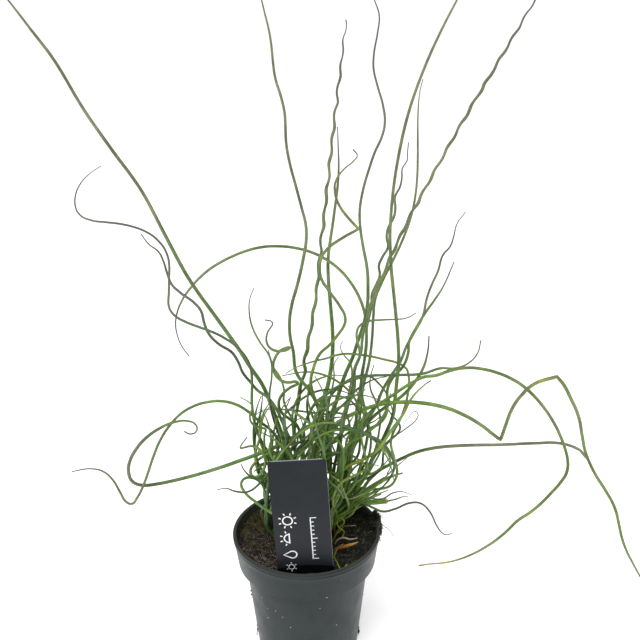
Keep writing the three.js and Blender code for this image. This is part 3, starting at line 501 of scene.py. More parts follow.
pot_corners = [
    (0, 0, 0),
    (BASE_RADIUS - 5, 0, 0.3),
    (BASE_RADIUS, 0, 0.9),
    (BODY_TOP_RADIUS, COLLAR_FOOT, 2.4),
    (COLLAR_RADIUS, COLLAR_FOOT, 0.4),
    (RIM_RADIUS - LIP, RIM_Z - 6.2, 3.4),
    (RIM_RADIUS, RIM_Z - 2.4, 1.6),
    (RIM_RADIUS, RIM_Z, 0.75),
    (RIM_RADIUS - LIP - WALL, RIM_Z, 0.4),
    (COLLAR_RADIUS - WALL, COLLAR_FOOT + WALL, 1.2),
    (BODY_TOP_RADIUS - WALL, COLLAR_FOOT - WALL, 1.2),
    (BASE_RADIUS - WALL, FLOOR, 1.0),
    (0, FLOOR, 0),
]
pot_shape = lathe(round_profile(pot_corners), POT_SIDES)
pot = object_from("nursery_pot", pot_shape)

cutters = bmesh.new()
for drain in range(DRAINS):
    middle = place(*on_circle(DRAIN_RING, TURN * drain / DRAINS), FLOOR / 2)
    there = Matrix.Translation(middle)
    sizes = {"radius1": DRAIN_RADIUS * MM, "radius2": DRAIN_RADIUS * MM, "depth": 4 * FLOOR * MM}
    bmesh.ops.create_cone(cutters, cap_ends=True, segments=DRAIN_SIDES, matrix=there, **sizes)
cutter = object_from("drain_cutter", cutters, smooth=False)
cut = pot.modifiers.new("drains", "BOOLEAN")
cut.object = cutter
cut.solver = "EXACT"
pot = plain_mesh(pot, "pot_shell")
bpy.data.objects.remove(cutter)
print("pot with", DRAINS, "drain holes")

# %% [markdown]
# The plastic is a dark blue-grey with a satin skin. It is a little uneven, has a few pale grains
# of dust stuck to it and is scuffed where pots rub against each other, along the lip. The
# scuffs follow the height of a point, so they need no painting by hand.

# %% Pot plastic
POT_DARK = (0.0083, 0.0138, 0.0155)
POT_LIGHT = (0.0128, 0.0205, 0.0225)
SCUFF = (0.014, 0.021, 0.0235)
DUST = (0.62, 0.62, 0.58)
SOILED = (0.044, 0.045, 0.037)
SCUFF_REACH = 1.6
DUST_PER_METRE = 170.0
DUST_EDGE = (0.05, 0.085)
DUST_SHARE = 0.5
SOILED_DEPTH = (0.0003, 0.0009)
SOILED_HEIGHT = (0.08, 0.083)

plastic, tree, shader, spot = new_material("pot_plastic", 0.4, 0.28)
cloudy = effect(tree, mottle, Place=spot, Size=0.03)
body = tree.blend(cloudy, POT_DARK, POT_LIGHT)
x, y, z = tree.apart(spot)
lip_band = tree.stretch(z, (RIM_Z - SCUFF_REACH) * MM, RIM_Z * MM)
rubbed = effect(tree, mottle, Place=spot, Size=0.004, Low=-0.4, High=0.8)
scuffed = tree.times(lip_band, rubbed, clamp=True)
body = tree.blend(scuffed, body, SCUFF)
grains = tree.add("ShaderNodeTexVoronoi", Vector=spot, Scale=DUST_PER_METRE, Randomness=1.0)
near_grain = tree.stretch(grains.outputs["Distance"], *DUST_EDGE, 1.0, 0.0)
chance = tree.out("ShaderNodeSeparateColor", Color=grains.outputs["Color"])
picked = tree.maths("GREATER_THAN", chance, DUST_SHARE)
body = tree.blend(tree.times(near_grain, picked), body, DUST)
from_axis = tree.maths("SQRT", tree.maths("MULTIPLY_ADD", x, x, tree.times(y, y)))
wall_slope = (RIM_RADIUS - COLLAR_RADIUS) / (RIM_Z - COLLAR_FOOT)
above_foot = tree.maths("SUBTRACT", z, COLLAR_FOOT * MM)
outer = tree.maths("MULTIPLY_ADD", above_foot, wall_slope, COLLAR_RADIUS * MM)
depth = tree.maths("SUBTRACT", outer, from_axis)
soiled = tree.times(tree.stretch(depth, *SOILED_DEPTH), tree.stretch(z, *SOILED_HEIGHT))
body = tree.blend(soiled, body, SOILED)
tree.give(shader.inputs["Base Color"], body)
sheen = effect(tree, mottle, Place=spot, Size=0.02, Low=0.34, High=0.48)
tree.give(shader.inputs["Roughness"], tree.stretch(soiled, 0.0, 1.0, sheen, 0.95))
tree.give(shader.inputs["Normal"], effect(tree, grain, Place=spot, Size=0.0022, Depth=0.00004))
pot.data.materials.append(plastic)
settle(pot, "pot_plastic", "pot")

# %% [markdown]
# ## The soil
#
# Potting mix is a rough surface of peat crumbs and fibres. A polar grid of points is raised by
# noise for its lumps, and small crumbs are scattered over it later. It climbs a little against
# the wall, and it is heaped at the right, where some of it lies on the rim.

# %% Soil surface
SOIL_RINGS = 46
SOIL_SIDES = 150
LUMPS = [(13, 3.1, 1.1), (5, 7.7, 1.0), (1.9, 1.3, 0.55)]  # width in mm, seed, height in mm
HEAP = Vector((50, 14))
HEAP_REACH = 14
HEAP_RISE = 4.2
EDGE_FROM = 0.85
EDGE_WIDTH = 0.15
EDGE_RISE = 1.2


def soil_height(x, y):
    """The height of the soil's surface over a place, in millimetres."""
    height = SOIL_Z
    for width, seed, rise in LUMPS:
        height += rise * noise.noise(Vector((x, y, seed)) / width)
    height += HEAP_RISE * math.exp(-((Vector((x, y)) - HEAP).length / HEAP_REACH) ** 2)
    out = math.hypot(x, y) / SOIL_RADIUS
    return height + EDGE_RISE * max(0.0, out - EDGE_FROM) / EDGE_WIDTH


shape = bmesh.new()
centre = shape.verts.new(place(0, 0, soil_height(0, 0)))
before = None
for ring in range(1, SOIL_RINGS + 1):
    radius = SOIL_RADIUS * ring / SOIL_RINGS
    now = []
    for side in range(SOIL_SIDES):
        x, y = on_circle(radius, TURN * side / SOIL_SIDES)
        now.append(shape.verts.new(place(x, y, soil_height(x, y))))
    for side in range(SOIL_SIDES):
        after = (side + 1) % SOIL_SIDES
        if before is None:
            shape.faces.new((centre, now[side], now[after]))
        else:
            shape.faces.new((before[side], now[side], now[after], before[after]))
    before = now
soil_top = object_from("soil_top", shape)
print("soil surface of", len(soil_top.data.polygons), "faces")

# %% [markdown]
# Below its surface the soil is a plug that fills the pot. It only shows through the drain holes,
# so it is the same surface with a plain skirt and a flat foot, a little inside the wall.

# %% Soil plug
CLEAR = 0.35
skirt = [
    (COLLAR_RADIUS - WALL - CLEAR, COLLAR_FOOT + WALL + CLEAR),
    (BODY_TOP_RADIUS - WALL - CLEAR, COLLAR_FOOT - WALL),
    (BASE_RADIUS - WALL - CLEAR, FLOOR + CLEAR),
]
shape = bmesh.new()
shape.from_mesh(soil_top.data)
above = [edge for edge in shape.edges if edge.is_boundary]
for radius, height in skirt:
    made = bmesh.ops.extrude_edge_only(shape, edges=above)["geom"]
    for corner in corners_in(made):
        flat = Vector((corner.co.x, corner.co.y, 0)).normalized() * radius * MM
        corner.co = Vector((flat.x, flat.y, height * MM))
    above = [item for item in made if isinstance(item, bmesh.types.BMEdge) and item.is_boundary]
bmesh.ops.contextual_create(shape, geom=above)
bmesh.ops.recalc_face_normals(shape, faces=shape.faces)
soil = object_from("soil_plug", shape)
print("soil plug of", len(soil.data.polygons), "faces")

# %% [markdown]
# Peat is almost black when it is wet and red-brown where it has dried. Both colours are mixed by
# noise, and the dry side is at the left. The same finish covers the crumbs, each of which
# carries a tone of its own, and the few palest are bits of bark and perlite.

# %% Soil finish
PEAT_WET = (0.0105, 0.0118, 0.0092)
PEAT = (0.054, 0.058, 0.039)
PEAT_DRY = (0.1, 0.068, 0.048)
PEAT_PALE = (0.16, 0.125, 0.105)
CRUMB_PALE_FROM = 0.965
DRY_LEFT = (-0.045, 0.02)
DRY_HEAP = (0.05, 0.056)

peat, tree, shader, spot = new_material("peat_soil", 0.92, 0.2)
soft = effect(tree, mottle, Place=spot, Size=0.006)
own = tree.attribute("crumb_tone")
earth = tree.blend(tree.times(soft, own), PEAT_WET, PEAT)
across = tree.apart(spot)["X"]
dry_side = tree.stretch(across, *DRY_LEFT, 1.0, 0.08)
dry_side = tree.maths("MAXIMUM", dry_side, tree.stretch(across, *DRY_HEAP, 0.0, 0.75))
dry = tree.times(effect(tree, mottle, Place=spot, Size=0.009, Low=-0.3), dry_side, clamp=True)
earth = tree.blend(tree.times(dry, tree.stretch(own, 0.2, 0.9)), earth, PEAT_DRY)
pale = tree.maths("GREATER_THAN", own, CRUMB_PALE_FROM)
paleness = tree.stretch(dry_side, 0.0, 1.0, 0.26, 0.75)
earth = tree.blend(tree.times(pale, paleness), earth, PEAT_PALE)
tree.give(shader.inputs["Base Color"], earth)
tree.give(shader.inputs["Normal"], effect(tree, grain, Place=spot, Size=0.0007, Depth=0.0005))
soil.data.materials.append(peat)
settle(soil, "potting_soil", "soil")

# %% [markdown]
# ## Crumbs on the soil
#
# Thousands of loose crumbs make the surface read as soil. Geometry Nodes scatter points over the
# surface, put a small many-sided ball on each, turned and scaled at random, and then push every
# corner by noise so that no two crumbs look alike.

# %% Crumb scatter
GEOMETRY = "NodeSocketGeometry"
WHOLE = "NodeSocketInt"
MATERIAL = "NodeSocketMaterial"
MOSTLY_SMALL = 3.0
DENTS_PER_METRE = 1100.0
TONE_SEED = 9


def modified(carrier, group, name, **inputs):
    """The carrier's data run through a node group, as a plain object called name."""
    modifier = carrier.modifiers.new(group.name, "NODES")
    modifier.node_group = group
    for item in group.interface.items_tree:
        label = item.name.replace(" ", "_")
        if item.in_out == "INPUT" and label in inputs:
            modifier[item.identifier] = inputs[label]
    return plain_mesh(carrier, name)


def named(tree, label, kind="FLOAT"):
    """An attribute that the geometry carries."""
    return tree.out("GeometryNodeInputNamedAttribute", {"data_type": kind}, Name=label)


def store(tree, geometry, label, value, kind="FLOAT"):
    node = tree.add("GeometryNodeStoreNamedAttribute", {"data_type": kind}, Geometry=geometry, Name=label)
    tree.give(Tree.socket(node, "Value"), value)
    return node.outputs[0]


scatter, tree, start, end = new_group(
    "GeometryNodeTree",
    "scatter_crumbs",
    [
        ("Surface", GEOMETRY, None),
        ("Per Square Metre", VALUE, 500000.0),
        ("Smallest", VALUE, 0.0004),
        ("Largest", VALUE, 0.001),
        ("Roughness", VALUE, 0.0005),
        ("Seed", WHOLE, 1),
        ("Finish", MATERIAL, None),
    ],
    [("Crumbs", GEOMETRY)],
)
seed = start["Seed"]
over = {"Mesh": start["Surface"], "Density": start["Per Square Metre"], "Seed": seed}
points = tree.out("GeometryNodeDistributePointsOnFaces", **over)
ball = tree.out("GeometryNodeMeshIcoSphere", Radius=1.0, Subdivisions=1)
all_ways = {"Max": (TURN, TURN, TURN), "Seed": seed}
tilt = tree.out("FunctionNodeRandomValue", {"data_type": "FLOAT_VECTOR"}, **all_ways)
turned = tree.out("FunctionNodeEulerToRotation", Euler=tilt)
size = tree.add("FunctionNodeRandomValue", {"data_type": "FLOAT"}, Seed=seed).outputs[1]
skewed = tree.maths("POWER", size, MOSTLY_SMALL)
spread = tree.maths("SUBTRACT", start["Largest"], start["Smallest"])
big = tree.maths("MULTIPLY_ADD", skewed, spread, start["Smallest"])
tone = tree.add("FunctionNodeRandomValue", {"data_type": "FLOAT"}, Seed=TONE_SEED).outputs[1]
points = store(tree, points, "crumb_tone", tone)
balls = {"Instance": ball, "Rotation": turned, "Scale": big}
loose = tree.out("GeometryNodeInstanceOnPoints", Points=points, **balls)
loose = tree.out("GeometryNodeRealizeInstances", Geometry=loose)
rough = tree.add("ShaderNodeTexNoise", Scale=DENTS_PER_METRE, Detail=1.0)
centred = tree.vectors("SUBTRACT", rough.outputs["Color"], (0.5, 0.5, 0.5))
push = tree.vectors("SCALE", centred, start["Roughness"])
loose = tree.out("GeometryNodeSetPosition", Geometry=loose, Offset=push)
loose = tree.out("GeometryNodeSetMaterial", Geometry=loose, Material=start["Finish"])
tree.give(end["Crumbs"], loose)

crumbs = modified(
    soil_top,
    scatter,
    "soil_crumbs",
    Per_Square_Metre=800000.0,
    Smallest=0.32 * MM,
    Largest=1.7 * MM,
    Roughness=1.0 * MM,
    Seed=4,
    Finish=peat,
)
settle(crumbs, "potting_soil")

# %% [markdown]
# Where the soil was heaped too high, some of it hangs over the lip at the right, and a few
# crumbs stick to the outside of the pot. They are listed as small clusters: a middle, a
# reach and a number of crumbs. From here on, a pair such as (0.65, 0.7) for `between` is the least
# that a random size may be, and how much may be added to it.

# %% Spilt soil
BALL_CORNERS = 12
CLUSTERS = [
    ((59.3, 12, 108.2), (1.9, 4, 1.7), 260),
    ((60.2, 4, 106.9), (1.5, 3.4, 2.4), 190),
    ((60.5, -3, 105.4), (0.9, 3, 2.6), 70),
    ((57.3, 19, 108.3), (2.0, 4, 1.7), 240),
    ((55.0, 12, 105.8), (3.4, 9, 1.8), 380),
    ((60.6, 8, 104.4), (0.9, 3, 2.6), 40),
    ((59.2, -8.5, 102.8), (0.4, 2.0, 2.4), 10),
    ((-47.2, -2.5, 49), (0.5, 2.5, 2.6), 7),
    ((-47.4, 3.5, 51.5), (0.4, 2.0, 1.0), 3),
    ((42.9, -3, 5.5), (0.6, 4.5, 3.5), 22),
    ((44.7, 1.5, 25), (0.5, 3.0, 3.4), 4),
    ((46.6, -1, 43), (0.4, 2.0, 2.0), 3),
    ((-43.2, -6, 8), (0.5, 5.0, 3.0), 10),
]
CLUSTER_SPREAD = 0.45
SMALLEST_CRUMB = 0.24
CRUMB_RANGE = 0.8
CRUMB_DENT = (0.65, 0.7)  # least, and up to this much more
draw = random.Random(12)


def between(least, more):
    """A random value from least to least + more."""
    return least + more * draw.random()


def add_crumb(shape, middle, radius):
    turn = Matrix.Rotation(draw.random() * TURN, 4, Vector((draw.random(), draw.random(), 0.3)))
    made = bmesh.ops.create_icosphere(
        shape, subdivisions=1, radius=radius * MM, matrix=Matrix.Translation(middle) @ turn
    )
    for corner in made["verts"]:
        away = corner.co - middle
        corner.co = middle + away * between(*CRUMB_DENT)


shape = bmesh.new()
for middle, reach, count in CLUSTERS:
    for _ in range(count):
        off = [draw.gauss(0, CLUSTER_SPREAD) * r for r in reach]
        at = place(*(m + o for m, o in zip(middle, off)))
        add_crumb(shape, at, SMALLEST_CRUMB + CRUMB_RANGE * draw.random() ** 2)
spilt = object_from("spilt_soil", shape, peat, smooth=False)
tones = [draw.random() for _ in range(len(spilt.data.vertices) // BALL_CORNERS)]
each = [tone for tone in tones for _ in range(BALL_CORNERS)]
spilt.data.attributes.new("crumb_tone", "FLOAT", "POINT").data.foreach_set("value", each)
settle(spilt, "potting_soil")

# %% [markdown]
# ## Round tubes along a path
#
# Stems, sheaths, straws, roots and soil fibres are all thin tubes that follow a path. A path
# reaches Geometry Nodes as a bare edge mesh whose points carry values: how thick it is, its
# tone, how far it has dried from the tip, and where it has a sharp kink. One node group turns
# the edges into smooth curves, sweeps a circle along them and stores what the finishes need.
# `growth` holds the share of the length from the foot, the dryness and the tone. `fibre` holds
# the way round and the length, so that streaks can run lengthwise without a seam.

# %% Tube group
tubes, tree, start, end = new_group(
    "GeometryNodeTree",
    "round_tubes",
    [
        ("Lines", GEOMETRY, None),
        ("Sides", WHOLE, 10),
        ("Step", VALUE, 0.002),
        ("Finish", MATERIAL, None),
    ],
    [("Tubes", GEOMETRY)],
)

curves = tree.out("GeometryNodeMeshToCurve", Mesh=start["Lines"])
curves = tree.out("GeometryNodeCurveSplineType", {"spline_type": "BEZIER"}, Curve=curves)
curves = tree.out("GeometryNodeCurveSetHandles", {"handle_type": "AUTO"}, Curve=curves)
kinked = tree.out("FunctionNodeCompare", {"operation": "GREATER_THAN"}, A=named(tree, "kink"), B=0.9)
pointed = {"handle_type": "VECTOR"}
curves = tree.out("GeometryNodeCurveSetHandles", pointed, Curve=curves, Selection=kinked)
curves = tree.out("GeometryNodeSetCurveRadius", Curve=curves, Radius=named(tree, "girth"))
curves = tree.out("GeometryNodeResampleCurve", {"mode": "LENGTH"}, Curve=curves, Length=start["Step"])
along = tree.add("GeometryNodeSplineParameter")
whole = tree.add("GeometryNodeSplineLength")
to_tip = tree.maths("SUBTRACT", whole.outputs["Length"], along.outputs["Length"])
dried = tree.maths("SUBTRACT", named(tree, "dry"), to_tip)
dryness = tree.maths("DIVIDE", dried, tree.maths("ADD", named(tree, "dry"), 0.000001), clamp=True)
growth = tree.out("ShaderNodeCombineXYZ", X=along.outputs["Factor"], Y=dryness, Z=named(tree, "tone"))
curves = store(tree, curves, "growth", growth, "FLOAT_VECTOR")
curves = store(tree, curves, "travel", along.outputs["Length"])
circle = tree.out("GeometryNodeCurvePrimitiveCircle", Resolution=start["Sides"], Radius=1.0)
way_round = tree.out("GeometryNodeInputPosition")
profile = store(tree, circle, "fibre", way_round, "FLOAT_VECTOR")
sweep = {"Curve": curves, "Profile_Curve": profile, "Fill_Caps": True}
made = tree.out("GeometryNodeCurveToMesh", Scale=tree.out("GeometryNodeInputRadius"), **sweep)
x, y, _ = tree.apart(named(tree, "fibre", "FLOAT_VECTOR"))
fibre = tree.out("ShaderNodeCombineXYZ", X=x, Y=y, Z=named(tree, "travel"))
made = store(tree, made, "fibre", fibre, "FLOAT_VECTOR")
made = tree.out("GeometryNodeSetShadeSmooth", Geometry=made)
made = tree.out("GeometryNodeRealizeInstances", Geometry=made)
made = tree.out("GeometryNodeSetMaterial", Geometry=made, Material=start["Finish"])
tree.give(end["Tubes"], made)


class Path:
    """A line of (point, radius) from foot to tip.

    The tone goes from 0, bluish, to 1, yellowish, and dry is the length that has dried out.
    """

    def __init__(self, line, tone=0.5, dry=5 * MM, kinks=()):
        self.line = line
        self.tone = tone
        self.dry = dry
        self.kinks = kinks


def tubes_along(paths, name, finish, sides=10, step=2 * MM):
    """Tubes along the paths, as one plain object."""
    corners, edges = [], []
    values = {"girth": [], "tone": [], "dry": [], "kink": []}
    for path in paths:
        first = len(corners)
        for number, (point, radius) in enumerate(path.line):
            corners.append(point)
            values["girth"].append(radius)
            values["tone"].append(path.tone)
            values["dry"].append(path.dry)
            values["kink"].append(1.0 if number in path.kinks else 0.0)
        edges += [(k, k + 1) for k in range(first, len(corners) - 1)]
    lines = bpy.data.meshes.new(name + "_lines")
    lines.from_pydata(corners, edges, [])
    for label, amounts in values.items():
        lines.attributes.new(label, "FLOAT", "POINT").data.foreach_set("value", amounts)
    carrier = add_object(name + "_lines", lines)
    return modified(carrier, tubes, name, Sides=sides, Step=step, Finish=finish)


print("tube group with", len(tubes.nodes), "nodes")

# %% [markdown]
# ## Reading the stems from the solids
#
# Each stem of a tuft solid is a three-sided tube that ends in a point. That makes its middle
# line easy to read back: a tip is a corner with three edges, its three neighbours are the last
# ring, their unseen neighbours the next ring, and so on down to the crown, where the rings stop
# having three corners. A copy of the mesh is joined first, because the solid's triangles are
# loose. A ring's corners are summed in a sorted order, so that every run gives the same result.

# %% Read the stems
MERGE = 0.002 * MM
PRISM = 1.2  # the solids' tubes are this much wider than the round stems
TIP_RADIUS = 0.16 * MM
SHORTEST = 5  # rings


def rings_below(tip):
    """(middle, radius) of each ring of a stem, from its tip to its crown."""
    rings = [(tip.co.copy(), TIP_RADIUS)]
    ring = {edge.other_vert(tip) for edge in tip.link_edges}
    seen = ring | {tip}
    while len(ring) == 3:
        corners = sorted((corner.co for corner in ring), key=tuple)
        middle = sum(corners, Vector()) / 3
        radius = sum((corner - middle).length for corner in corners) / 3 / PRISM
        rings.append((middle, radius))
        around = {edge.other_vert(corner) for corner in ring for edge in corner.link_edges}
        ring = around - seen
        seen |= ring
    return rings


def stems_of(node):
    """The middle lines of a tuft's stems, each from its foot to its tip."""
    shape = bmesh.new()
    shape.from_mesh(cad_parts[node].data)
    bmesh.ops.remove_doubles(shape, verts=shape.verts, dist=MERGE)
    stems = []
    for corner in shape.verts:
        if len(corner.link_edges) != 3:
            continue
        rings = rings_below(corner)
        if len(rings) >= SHORTEST:
            stems.append(rings[::-1])
    shape.free()
    return stems


tuft_names = sorted(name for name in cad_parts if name.startswith("tuft_"))
tufts = {name: stems_of(name) for name in tuft_names}
print("stems read:", sum(len(stems) for stems in tufts.values()), "in", len(tufts), "tufts")
print("lowest rings:", sorted(round(s[0][0].z / MM, 1) for stems in tufts.values() for s in stems)[-5:])


# %% [markdown]
# The rings give the middle line, and the lowest ring the thickness of each stem. From there a
# stem thins slowly over its whole length, and fast only near its tip. The most visible stems
# follow the real ones more closely: a short list gives their thickness near the foot and
# further out, their tone, and how much of them has dried. Sharp kinks are listed by place. Two
# stems are wound as tightly as a corkscrew: their waves are drawn in and swell at each turn.

# %% Stem thickness and tones
THIN_SHARE = 0.5
THIN_BASE = 0.68
PORTRAITS = [
    # tip in mm, thickness near the foot and far out, tone, dried length in mm or 0 for a cut end
    ((-238, 98, 536), 1.3, 1.0, 0.62, 10),
    ((-23, -49, 533), 1.2, 0.7, 0.5, 10),
    ((33, 40, 497), 1.0, 0.75, 0.55, 120),
    ((43, 80, 544), 1.5, 0.5, 0.45, 240),
    ((147, -68, 523), 0.9, 0.66, 0.6, 110),
    ((142, 141, 336), 1.4, 1.05, 0.5, 70),
    ((114, 23, 325), 1.35, 1.1, 0.7, 30),
    ((95, 11, 270), 1.3, 1.4, 0.6, 25),
    ((-121, -57, 413), 1.15, 0.68, 0.35, 290),
    ((-118, 20, 350), 1.2, 1.1, 0.3, 210),
    ((-107, 121, 210), 1.05, 1.12, 0.68, 90),
    ((-42, 81, 288), 1.0, 0.9, 0.6, 45),
    ((-24, -52, 308), 1.2, 1.3, 0.6, 45),
    ((-84, -49, 224), 1.2, 1.2, 0.45, 20),
    ((-154, -88, 215), 1.15, 0.95, 0.66, 45),
    ((257, -76, 93), 1.3, 1.0, 1.0, 8),
    ((83, -70, 123), 0.88, 1.02, 1.15, 38),
    ((231, 23, 156), 1.1, 1.25, 0.35, 0),
    ((113, -33, 124), 1.2, 0.8, 0.15, 90),
    ((97, 108, 452), 1.3, 0.95, 0.6, 20),
    ((83, 76, 406), 1.1, 1.1, 0.5, 90),
    ((120, 5, 536), 1.2, 0.8, 0.6, 10),
    ((29, 139, 411), 1.9, 1.0, 0.6, 60),
    ((47.2, -16.7, 143.5), 1.0, 1.0, 0.08, 6),
    ((-22.2, -45.8, 151.2), 0.8, 1.25, 0.6, 0),
    ((65.7, 5.1, 129), 1.0, 1.95, 1.05, 0),
    ((80.1, 26.7, 142), 1.2, 1.7, 0.9, 4),
    ((90.2, -42.2, 258), 1.2, 0.9, 0.95, 12),
    ((63.2, -15.3, 166.7), 1.0, 1.05, 0.78, 4),
    ((78.4, -28.9, 155.1), 1.0, 0.8, 0.5, 26),
    ((72.3, -29, 214.2), 1.0, 0.45, 0.2, 60),
    ((83.1, -15.1, 147.4), 0.9, 0.7, 0.5, 36),
    ((-38.7, -61, 225.1), 1.0, 1.2, 0.8, 10),
    ((-62.5, -57, 180.3), 1.0, 0.9, 0.3, 50),
]
KINKS = [
    (152.2, -3, 188.5),
    (173.4, -57.6, 267),
    (195.8, -34, 184.5),
    (83.1, 40.1, 230.2),
    (225.5, 25.5, 162.5),
    (40.9, 1.9, 356.5),
]
KINK_MATCH = 2.5
KINK_REACH = 6
WOUND = [(33, 40, 497), (147, -68, 523)]
ONE_TURN = 20
DRAWN_IN = 0.5
SWELL = 0.45
SWELL_FULL = 2
PORTRAIT_REACH = 6
TAPER = 0.28
TIP_FROM = 0.82
TIP_THINNING = 0.55
ROOTED = 3
LITTLE_DRY = (2, 5)
draw = random.Random(8)


def smooth_share(value, low, high):
    share = min(1.0, max(0.0, (value - low) / (high - low)))
    return share * share * (3 - 2 * share)


def with_radii(points, foot_radius, near=1.0, far=1.0, thin_end=TIP_THINNING):
    """The points with the radius of a stem that thins to its tip."""
    lengths = [0.0]
    for a, b in zip(points, points[1:]):
        lengths.append(lengths[-1] + (b - a).length)
    base = THIN_SHARE * foot_radius + THIN_BASE * MM
    line = []
    for point, length in zip(points, lengths):
        share = length / lengths[-1]
        thin = (1 - TAPER * share) * (1 - thin_end * smooth_share(share, TIP_FROM, 1.0))
        line.append((point, base * thin * (near + (far - near) * share)))
    return line


def sharpened(points):
    """The points without those that round off a kink, and the numbers of the kinks."""
    kept, kinks = list(points), []
    for kink in (place(*spot) for spot in KINKS):
        nearest = min(kept, key=lambda point: (point - kink).length)
        if (nearest - kink).length > KINK_MATCH * MM:
            continue
        kept = [p for p in kept if p is nearest or (p - nearest).length > KINK_REACH * MM]
        kinks.append(nearest)
    return kept, [number for number, point in enumerate(kept) if point in kinks]


def wound_tightly(line):
    """A corkscrew stem's line with its waves drawn in, and thicker where it turns."""
    made = []
    for point, radius in line:
        near = [p for p, _ in line if (p - point).length < ONE_TURN / 2 * MM]
        off = point - sum(near, Vector()) / len(near)
        swell = 1 + SWELL * min(1.0, off.length / (SWELL_FULL * MM))
        made.append((point - off * DRAWN_IN, radius * swell))
    return made


def portrait_of(tip):
    """What the list says of the stem with this tip, or None."""
    for spot, *wanted in PORTRAITS:
        if (place(*spot) - tip).length < PORTRAIT_REACH * MM:
            return wanted
    return None


def stem_path(rings, portrait):
    """A finished path for the rings of one stem."""
    points = [point for point, _ in rings]
    low = points[0]
    points, kinks = sharpened([Vector((low.x, low.y, (SOIL_Z - ROOTED) * MM)), *points])
    near, far, tone, dry = portrait or (1.0, 1.0, draw.random(), between(*LITTLE_DRY))
    thin_end = TIP_THINNING if dry else 0.0
    line = with_radii(points, rings[0][1], near, far, thin_end)
    if any((place(*spot) - points[-1]).length < PORTRAIT_REACH * MM for spot in WOUND):
        line = wound_tightly(line)
    return Path(line, tone, dry * MM, kinks)


# %% [markdown]
# The short stems in the middle of the clump end bluntly in the solids. On the real plant many
# bend over and curl on, so they are carried on from the tip: a walk in small steps whose heading
# turns towards the ground a little at every step. On the left, where the clump is looser, the
# stems bend over in wide bows from two thirds of their length on. A walk that meets the label, the
# soil or the pot, or that leaves the clump, is drawn again.

# %% Curling on
WALK_STEP = 3.0
SWAY = (1, 1, 0.4)
SWAY_PULL = 0.75
SWAY_DRIFT = (0.16, 0.16, 0.16)
CARD_X = -2
CARD_REACH = LABEL_WIDTH / 2 + 4
CARD_CLEAR = 9
RIM_CLEAR = 7
RIM_OVER = 9
LOW_OVER_SOIL = 12
HEART = ((-4, -32, 140), (66, 52, 226))
LOOSE_SIDE = ((-40, -25, 150), (-4, 60, 240))
CLUMP = ((-42, -40, 108), (68, 56, 236))
CURLED_SHARE = 0.7
SHORTEST_CURL = 30
WIDE_BOW = 22
TIGHT_BOW = 17
LONGER = 1.6
WIDER = 1.5
TRIES = 60


def inside(point, box):
    low, high = box
    return all(l < value < h for l, value, h in zip(low, point / MM, high))


def bad_place(point):
    """Whether a stem may not pass here."""
    x, y, z = point / MM
    near_card = abs(x - CARD_X) < CARD_REACH and abs(y - LABEL_Y) < CARD_CLEAR
    by_rim = math.hypot(x, y) > RIM_RADIUS - RIM_CLEAR and z < RIM_Z + RIM_OVER
    return near_card or by_rim or not inside(point, CLUMP) and z > SOIL_Z + LOW_OVER_SOIL


def gust(spreads):
    """A random vector, given how far its x, y and z spread."""
    return Vector([draw.gauss(0, spread) for spread in spreads])


def walk(start, heading, length, bow):
    """Points from start on, bending down with a radius of about bow, or None; lengths in mm."""
    sway = gust(SWAY)
    points = []
    heading = heading.normalized()
    point = start
    for _ in range(int(length / WALK_STEP)):
        pull = Vector((0, 0, -1)) + SWAY_PULL * sway
        axis = heading.cross(pull).normalized()
        heading = Matrix.Rotation(WALK_STEP / bow, 3, axis) @ heading
        point = point + heading * WALK_STEP * MM
        if bad_place(point):
            return None
        points.append(point)
        sway += gust(SWAY_DRIFT)
    return points


def curled_on(rings):
    """The rings of a stem, often carried on from its tip if it ends in the heart of the clump."""
    tip = rings[-1][0]
    if inside(tip, LOOSE_SIDE):
        kept, bow = rings[: len(rings) * 2 // 3], WIDE_BOW
    elif inside(tip, HEART) and draw.random() < CURLED_SHARE:
        kept, bow = rings[:-1], TIGHT_BOW
    else:
        return rings
    start = kept[-1][0]
    heading = start - kept[-3][0]
    for _ in range(TRIES):
        length = SHORTEST_CURL * between(1, LONGER)
        more = walk(start, heading, length, bow * between(1, WIDER))
        if more:
            return kept + [(point, rings[0][1]) for point in more]
    return rings


stems = {name: [] for name in tuft_names}
for name in tuft_names:
    for rings in tufts[name]:
        portrait = portrait_of(rings[-1][0])
        stems[name].append(stem_path(rings if portrait else curled_on(rings), portrait))
print("longest stem:", max(len(path.line) for name in tuft_names for path in stems[name]), "points")

# %% [markdown]
# ## The finish of the stems
#
# A rush stem is smooth and satin, with fine lengthwise ribs. It is a fresh green low down, a
# duller olive high up where the light has bleached it, and its tip dries to grey-brown. Every
# stem has its own tone, some bluish and some yellowish, and a few yellow patches. Painted shade
# darkens the feet of the stems, most of all on the left, and painted light brightens them on the
# right, where the young sheaf stands. Random patches of painted shade run along the stems, and
# painted shade darkens each stem towards its outline. Each mask below is a stretch of a height,
# a distance or a stored value; heights and distances are metres.

# %% Stem finish
GREEN_BLUE = (0.05, 0.112, 0.042)
GREEN_YELLOW = (0.172, 0.31, 0.04)
GREEN_SHADE = (0.014, 0.036, 0.012)
GREEN_LIT = (0.26, 0.42, 0.09)
OLIVE = (0.162, 0.175, 0.094)
YELLOWED = (0.38, 0.3, 0.035)
DUSKY = (0.1, 0.096, 0.078)
ORANGE = (0.42, 0.2, 0.05)
TIP_DARK = (0.1, 0.07, 0.045)
CUT_PALE = (0.42, 0.4, 0.26)
EDGE_SHADE = (0.34, 0.3, 0.28)
SHADY = (0.62, 0.66, 0.6)
CREASE = (0.3, 0.31, 0.17)


def growth_of(tree):
    """What the tube group stored: the share of the length, the dryness and the tone."""
    return tree.apart(tree.attribute("growth", "Vector"))


